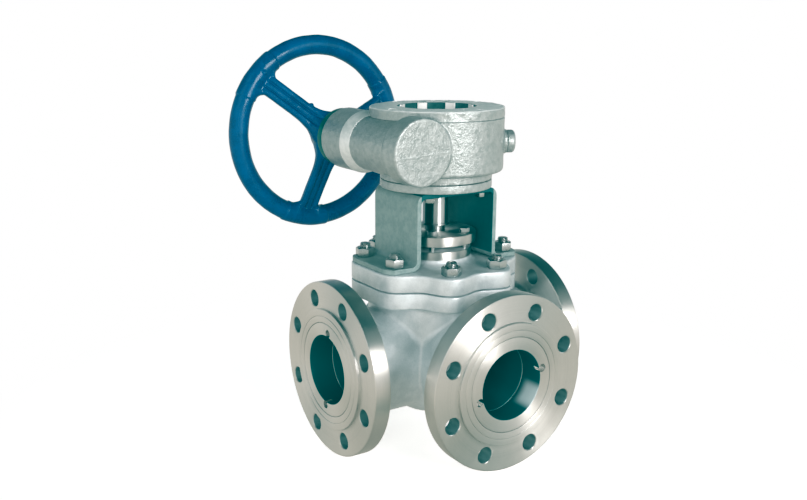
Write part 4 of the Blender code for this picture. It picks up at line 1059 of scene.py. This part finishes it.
def housing_hollow(x, y, z, off):
    """Room for the worm wheel, the coupling, the worm and the stop screws."""
    room = np.maximum(np.hypot(x, y) - 60.0, 218.0 - z)
    neck = np.hypot(x, y) - 14.7
    worm = np.maximum(off - 19.3, -58.0 - y)
    hollow = np.minimum(np.minimum(room, neck), worm)
    for angle in STOP_ANGLES.values():
        along, across = turned_to(angle, x, y)
        screw = np.maximum(np.hypot(across, z - WORM_Z) - 6.6, 50.0 - along)
        hollow = np.minimum(hollow, screw)
    return hollow


def build_gearbox():
    add_casting(
        "gear_housing_casting", housing_field, (-103, -78, 198), (84, 90, 278), 1.25, GEAR_PAINT,
        replaces="gearbox_housing",
    )
    disc = [
        (20.0, DISC_LOW, 0.5), (DISC_R, DISC_LOW, 0.9), (DISC_R, DISC_TOP, 0.9),
        (20.0, DISC_TOP, 0.5),
    ]
    add_piece("adapter_disc", lathe(disc, 128), GEAR_PAINT, replaces="mounting_disc")
    build_cover()
    plug = [
        (0, 64.0), (6.0, 64.0, 0.5), (6.0, 78.2), (12.6, 78.2, 0.4), (12.6, 86.8, 3.6), (0, 86.9),
    ]
    for name, angle in STOP_ANGLES.items():
        shape = moved(lathe(plug, 64, 6), rotation(angle, "Z") @ TO_RIGHT, (0, 0, WORM_Z))
        add_piece(f"{name}_plug", shape, GEAR_PAINT, replaces=name)
    low, step, top = TUBE_REAR + 0.4, TUBE_REAR + 4.6, TUBE_REAR + 11.4
    seal = [
        (10.4, low, 0.3), (33.0, low, 0.8), (33.0, top, 1.6), (23.3, top, 0.5), (23.3, step, 0.5),
        (10.4, step, 0.3),
    ]
    cone = [(29.0, 29.4), (30.5, 29.4, 0.3), (34.75, 43.9, 0.5), (33.0, 44.2)]
    cone = moved(lathe(cone, 128), TO_REAR, WORM_AXIS)
    add_piece("tube_cone_band", cone, PALE_PAINT)
    seal = moved(lathe(seal, 96), TO_REAR, WORM_AXIS)
    add_piece("shaft_seal", seal, SEAL, replaces="input_seal")


def cover_shape():
    """Cover with a lumpy outside, as cast."""
    count = 256
    angle = np.arange(count) * 2 * pi / count
    x, y = np.cos(angle), np.sin(angle)

    def wavy(radius, height, amount=1.0):
        bumps = 0.28 * ripple(radius * x, radius * y, height, 8.0, 21)
        bumps = bumps + 0.22 * ripple(radius * x, radius * y, height, 26.0, 22)
        return amount * bumps

    soft = 2.2
    rows = [(OPENING_R, COVER_LOW)]
    rows += [(DRUM_R - 0.3, COVER_LOW - 0.1), (DRUM_R, COVER_LOW + 0.2)]
    for z in np.linspace(COVER_LOW + 2, COVER_TOP - 2.4, 6):
        rows.append((DRUM_R + wavy(DRUM_R, z), z))
    for s, c in quarter(5)[1:]:
        r, z = DRUM_R - soft * (1 - c), COVER_TOP - soft * (1 - s)
        rows.append((r + wavy(r, z), z + wavy(r, z, 0.5)))
    for r in np.linspace(DRUM_R - 4, OPENING_R + 2.5, 14):
        rows.append((r, COVER_TOP + wavy(r, COVER_TOP, 0.8)))
    rows += [(OPENING_R + 1.0, COVER_TOP), (OPENING_R, COVER_TOP - 1.0)]
    return polar(rows, count)


def cover_screw_shape():
    """Cap screw with a hexagon socket, sunk in the cover."""
    edge, top, seat = hexagon(5.0, 48)[0], COVER_TOP - 0.6, COVER_TOP - 5.6
    rows = [
        (0, 260.0), (2.9, 260.0), (2.9, seat - 0.1), (5.0, seat), (5.0, top - 0.5), (4.5, top),
        (edge, top), (edge * 0.98, top - 2.8), (0, top - 3.2),
    ]
    return polar(rows, 48)


def build_cover():
    above = COVER_TOP + 2
    screws = [around(COVER_SCREW_CIRCLE_R, angle) for angle in COVER_SCREW_ANGLES]
    bores = [moved(cylinder(5.7, COVER_TOP - 6, above), shift=place) for place in screws]
    low, lip = COVER_TOP - 7, COVER_TOP - 0.3
    for i, (angle, radius) in enumerate(COVER_HOLES, 1):
        place = around(COVER_HOLE_CIRCLE_R, angle)
        bore = lathe([(0, low - 1), (radius, low), (radius, above), (0, above)], 32)
        bores.append(moved(bore, shift=place))
        # Each blind hole holds a dark cup of painted shade.
        outer, inner = radius - 0.05, radius - 0.35
        cup = [(0, low - 0.5), (outer, low + 0.2), (outer, lip), (inner, lip), (inner, low + 0.5)]
        cup = moved(lathe(cup + [(0, low)], 32), shift=place)
        add_piece(f"cover_hole_painted_shade_{i}", cup, HOLE_PAINTED_SHADE)
    add_piece(
        "gear_cover", cover_shape(), COVER_PAINTED_LIGHT, replaces="gearbox_cover",
        cuts=[("DIFFERENCE", bore) for bore in bores],
    )
    add_piece("cover_bore", opening_lands(), RECESS_PAINTED_SHADE)
    for i, place in enumerate(screws, 1):
        screw = moved(cover_screw_shape(), shift=place)
        add_piece(f"cap_screw_{i}", screw, BRIGHT, replaces=f"cover_screw_{i}")


def opening_lands():
    """Ring inside the cover's opening, with eight lands that stand proud of it."""
    count = 240
    from_land = (np.arange(count) * 360.0 / count + 90.0 - 33.0 + 22.5) % 45.0 - 22.5
    inner = np.where(np.abs(from_land) < 8.5, OPENING_R - 2.4, OPENING_R - 0.05)
    rows = [
        (inner, COVER_LOW + 0.1), (OPENING_R + 1.5, COVER_LOW + 0.1),
        (OPENING_R + 1.5, COVER_TOP - 1.2), (OPENING_R + 0.9, COVER_TOP - 0.2),
        (inner + 0.3, COVER_TOP - 0.4), (inner, COVER_TOP - 0.8),
    ]
    return polar(rows, count)


# ---- Handwheel ----


def spoke_depth(t, s):
    """Depth of a spoke's front below its two outer bands; t is 0 in the middle, 1 at the edge."""
    groove = 2.6 * np.exp(-(((t - 0.33) / 0.11) ** 2))
    rib = 1.1 * (1 - np.clip((t - 0.15) / 0.25, 0, 1))
    ends = 2.2 * np.clip((s - 0.84) / 0.06, 0, 1)
    return np.maximum((groove + rib) * np.clip(s / 0.08, 0, 1), ends)


def wheel_field(x, y, z):
    u, w = x - WORM_X, z - WORM_Z
    radius = np.hypot(u, w)
    turn = np.degrees(np.arctan2(w, u)) - SPOKE_ANGLE
    near = (turn + 60.0) % 120.0 - 60.0
    along = radius * np.cos(np.radians(near))
    across = radius * np.sin(np.radians(near))
    thick = np.clip((16.0 - np.abs(near)) / 0.8, 0, 1)
    rim = np.hypot(radius - RIM_R, y - RIM_PLANE) - (RIM_SECTION_R - 0.15 + 0.95 * thick)
    s = np.clip((along - 18.0) / (RIM_R - 18.0), 0, 1)
    middle = SPOKE_HUB + (RIM_PLANE - SPOKE_HUB) * s
    half = 11.5 + 6.5 * np.clip(1 - s / 0.33, 0, 1) ** 2 + 2.0 * np.clip((s - 0.7) / 0.3, 0, 1) ** 2
    t = np.abs(across) / half
    front = (middle - 6.3 + spoke_depth(t, s) - y) * SPOKE_LEAN
    back = (y - middle - 5.2) * SPOKE_LEAN
    spoke = blend_common(np.abs(across) - half, np.maximum(front, back), 4.0)
    spoke = np.maximum(spoke, np.maximum(-along, along - RIM_R))
    hub_r = np.interp(y, *HUB_PROFILE)
    hub = blend_common(radius - hub_r, np.maximum(HUB_FRONT - y, y - HUB_BACK), 2.0)
    solid = blend_union(rim, spoke, 3.0 + 6.0 * np.clip((t - 0.75) / 0.35, 0, 1))
    solid = blend_union(solid, hub, 9.0)
    for du, dw, dy, size in NUBS:
        nub = np.sqrt((u - du) ** 2 + (w - dw) ** 2 + (y - dy) ** 2) - size
        solid = blend_union(solid, nub, 1.5)
    rough = 0.10 * ripple(x, y, z, 12.0, 31) + 0.16 * ripple(x, y, z, 34.0, 32)
    return np.maximum(solid + rough, 8.3 - radius)


def build_handwheel():
    half = RIM_R + 14
    low = (WORM_X - half, 88.0, WORM_Z - half)
    high = (WORM_X + half, 174.0, WORM_Z + half)
    add_casting("spoked_handwheel", wheel_field, low, high, 1.2, BLUE, "worm", "handwheel")
    nut = moved(nut_shape(24.0, 8.1, 9.0), TO_REAR, (WORM_X, HUB_BACK + 0.3, WORM_Z))
    add_piece("wheel_nut", nut, BRIGHT, "worm", "handwheel_nut")
    rows = [(7.0, 146.0)] + thread_rows(8.05, 2.0, 146.4, 153.0, 48) + [(7.0, 153.05), (0, 153.1)]
    end = polar([(0, 146.0)] + rows, 48)
    add_piece("shaft_end_thread", moved(end, TO_REAR, WORM_AXIS), BRIGHT, "worm")


# ---- CAD nodes that stay ----

KEPT = {
    "bonnet_gasket": GRAPHITE,
    "stem_thrust_washer": PTFE,
    "stem_packing": PTFE,
    "wheel_key": SHAFT_STEEL,
    "worm_wheel": BRONZE,
    "worm_bush_front": BRONZE,
    "worm_bush_rear": BRONZE,
    "worm_shaft": SHAFT_STEEL,
}


def paint_kept_nodes():
    for name, material in KEPT.items():
        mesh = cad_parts[name].data
        mesh.materials.clear()
        mesh.materials.append(material)


# ---- Studio ----


def card(tree, direction, place, wide, soft, colour, below):
    """Adds a soft patch of light seen in that direction to the colour below."""
    dot = vectors(tree, "DOT_PRODUCT", direction, Vector(place).normalized())
    start, end = cos(radians(wide + soft)), cos(radians(wide))
    return mixed(tree, spread(tree, dot, start, end), below, (*colour, 1.0))


def by_camera(tree, hidden, seen):
    """Shader that only camera rays see as the second one."""
    camera_ray = node(tree, "LightPath").outputs["Is Camera Ray"]
    return node(tree, "MixShader", {0: camera_ray, 1: hidden, 2: seen}).outputs[0]


# Studio seen by reflections: colour against the height of the direction looked at
STUDIO = (
    (-1.0, (0.40, 0.375, 0.33)),
    (-0.60, (0.56, 0.525, 0.46)),
    (-0.27, (0.86, 0.82, 0.745)),
    (-0.05, (0.84, 0.82, 0.77)),
    (0.12, (0.76, 0.77, 0.75)),
    (0.30, (0.46, 0.50, 0.49)),
    (0.46, (0.15, 0.22, 0.22)),
    (0.60, (0.03, 0.09, 0.09)),
    (1.0, (0.01, 0.05, 0.055)),
)
# Soft patches in it: direction, radius and soft edge in degrees, colour
PATCHES = (
    ((0.50, -0.66, -0.56), 5, 8, (0.05, 0.16, 0.16)),
    ((-0.17, 0.82, 0.55), 8, 10, (0.38, 0.41, 0.40)),
    ((0.50, -0.64, 0.58), 10, 12, (0.42, 0.45, 0.44)),
    ((-0.80, -0.30, 0.52), 14, 14, (1.15, 1.15, 1.12)),
    ((0.54, -0.84, 0.08), 8, 12, (1.3, 1.3, 1.28)),
)


# Floor, in metres
FLOOR_SIZE = 8.0
FLOOR_LEVEL = -0.0312
FLOOR_FADE = (0.24, 0.55)
# Camera: its direction from the port centre, its place along its own axes, and its lens
CAMERA_TURN = radians(-31.79)
CAMERA_TILT = radians(15.53)
CAMERA_ROLL = -0.0024438
CAMERA_BACK, CAMERA_RIGHT, CAMERA_UP = 1091.73, -67.49, 78.89
SENSOR, LENS = 36.0, 41.460223
LENS_SHIFT = (0.0344237918, 0.0361462206)


def build_world():
    world = bpy.data.worlds.new("studio")
    bpy.context.scene.world = world
    world.use_nodes = True
    tree = world.node_tree
    tree.nodes.clear()
    direction = node(tree, "TexCoord").outputs["Generated"]
    height = node(tree, "SeparateXYZ", {0: direction}).outputs[2]
    share = node(tree, "MapRange", {0: height, 1: -1.0, 2: 1.0, 3: 0.0, 4: 1.0})
    blend = node(tree, "ValToRGB", {0: share.outputs[0]})
    ramp = blend.color_ramp
    first, last = ramp.elements
    first.color, last.color = (*STUDIO[0][1], 1), (*STUDIO[-1][1], 1)
    for level, colour in STUDIO[1:-1]:
        ramp.elements.new((level + 1) / 2).color = (*colour, 1)
    colour = blend.outputs[0]
    for patch in PATCHES:
        colour = card(tree, direction, *patch, colour)
    shine = node(tree, "Background", {0: colour, 1: 1.0}).outputs[0]
    seen = node(tree, "Background", {0: (1, 1, 1, 1), 1: 1.0}).outputs[0]
    node(tree, "OutputWorld", {0: by_camera(tree, shine, seen)})


def area_light(name, place, aim, size, power, shiny=True):
    data = bpy.data.lights.new(name, "AREA")
    data.shape = "RECTANGLE"
    data.size, data.size_y = size
    data.energy = power
    obj = new_object(name, data)
    obj.location = place
    obj.rotation_mode = "QUATERNION"
    obj.rotation_quaternion = (Vector(aim) - Vector(place)).to_track_quat("-Z", "Y")
    obj.visible_glossy = shiny


def build_floor():
    """Pale floor that fades into white with distance; reflections see the studio instead."""
    mesh = bpy.data.meshes.new("floor")
    signs = ((-1, -1), (1, -1), (1, 1), (-1, 1))
    corners = [(FLOOR_SIZE * x, FLOOR_SIZE * y, FLOOR_LEVEL) for x, y in signs]
    mesh.from_pydata(corners, [], [(0, 1, 2, 3)])
    made = bpy.data.materials.new("floor_white")
    made.use_nodes = True
    tree = made.node_tree
    near = tree.nodes["Principled BSDF"]
    feed(tree, near, {
        "Base Color": (0.80, 0.80, 0.79, 1),
        "Roughness": 0.8,
        "Specular IOR Level": 0.1,
        "Emission Color": (1, 1, 1, 1),
        "Emission Strength": 0.6,
    })
    far = node(tree, "Emission", {0: (1, 1, 1, 1), 1: 1.0}).outputs[0]
    place = node(tree, "TexCoord").outputs["Object"]
    away = reach(tree, place, (1, 1, 0), (0, 0, 0))
    fade = spread(tree, away, *FLOOR_FADE)
    seen = node(tree, "MixShader", {0: fade, 1: near.outputs[0], 2: far}).outputs[0]
    clear = node(tree, "BsdfTransparent").outputs[0]
    feed(tree, tree.nodes["Material Output"], {"Surface": by_camera(tree, clear, seen)})
    mesh.materials.append(made)
    new_object("floor", mesh)


# Points of the curves for red, green and blue
GRADE = (
    ((0.0, 0.0), (0.03, 0.002), (0.075, 0.025), (0.15, 0.095), (0.30, 0.25), (0.55, 0.53)),
    ((0.0, 0.018), (0.03, 0.045), (0.10, 0.11)),
    ((0.0, 0.019), (0.03, 0.047), (0.10, 0.112)),
)


def cool_the_shadows(view):
    """Print-like grade: shadows lose their red and lift a little in green and blue."""
    view.use_curve_mapping = True
    for curve, levels in zip(view.curve_mapping.curves, GRADE):
        curve.points[0].location = levels[0]
        for level in levels[1:]:
            curve.points.new(*level)
    view.curve_mapping.update()


def build_camera():
    """Camera at the photograph's viewing angle."""
    flat = cos(CAMERA_TILT)
    back = Vector((
        sin(CAMERA_TURN) * flat, -cos(CAMERA_TURN) * flat, sin(CAMERA_TILT)
    ))
    right = Vector((cos(CAMERA_TURN), sin(CAMERA_TURN), 0))
    up = back.cross(right)
    c, s = cos(CAMERA_ROLL), sin(CAMERA_ROLL)
    right, up = right * c + up * s, up * c - right * s
    place = back * CAMERA_BACK + right * CAMERA_RIGHT + up * CAMERA_UP
    place += Vector((0, 0, PORT_HEIGHT))
    data = bpy.data.cameras.new("camera")
    data.sensor_width, data.lens = SENSOR, LENS
    data.shift_x, data.shift_y = LENS_SHIFT
    data.clip_start, data.clip_end = 0.05, 50
    camera = new_object("camera", data)
    pose = Matrix((right, up, back)).transposed().to_4x4()
    pose.translation = place * MM
    camera.matrix_world = pose
    bpy.context.scene.camera = camera


build_body()
build_ports()
build_ball()
build_bonnet()
build_studs()
build_stuffing_box()
build_bracket()
build_gearbox()
build_handwheel()
paint_kept_nodes()
build_world()
build_floor()
area_light("key", (0.12, -1.9, 0.8), (0, 0, 0.2), (0.8, 0.8), 25)
area_light("left_light", (-1.3, -1.35, 0.55), (0, 0, 0.15), (0.6, 0.6), 20, False)
area_light("back_light", (0.9, 1.7, 1.0), (0, 0, 0.2), (0.9, 0.9), 14, False)
build_camera()
scene = bpy.context.scene
scene.view_settings.view_transform = "Standard"
cool_the_shadows(scene.view_settings)
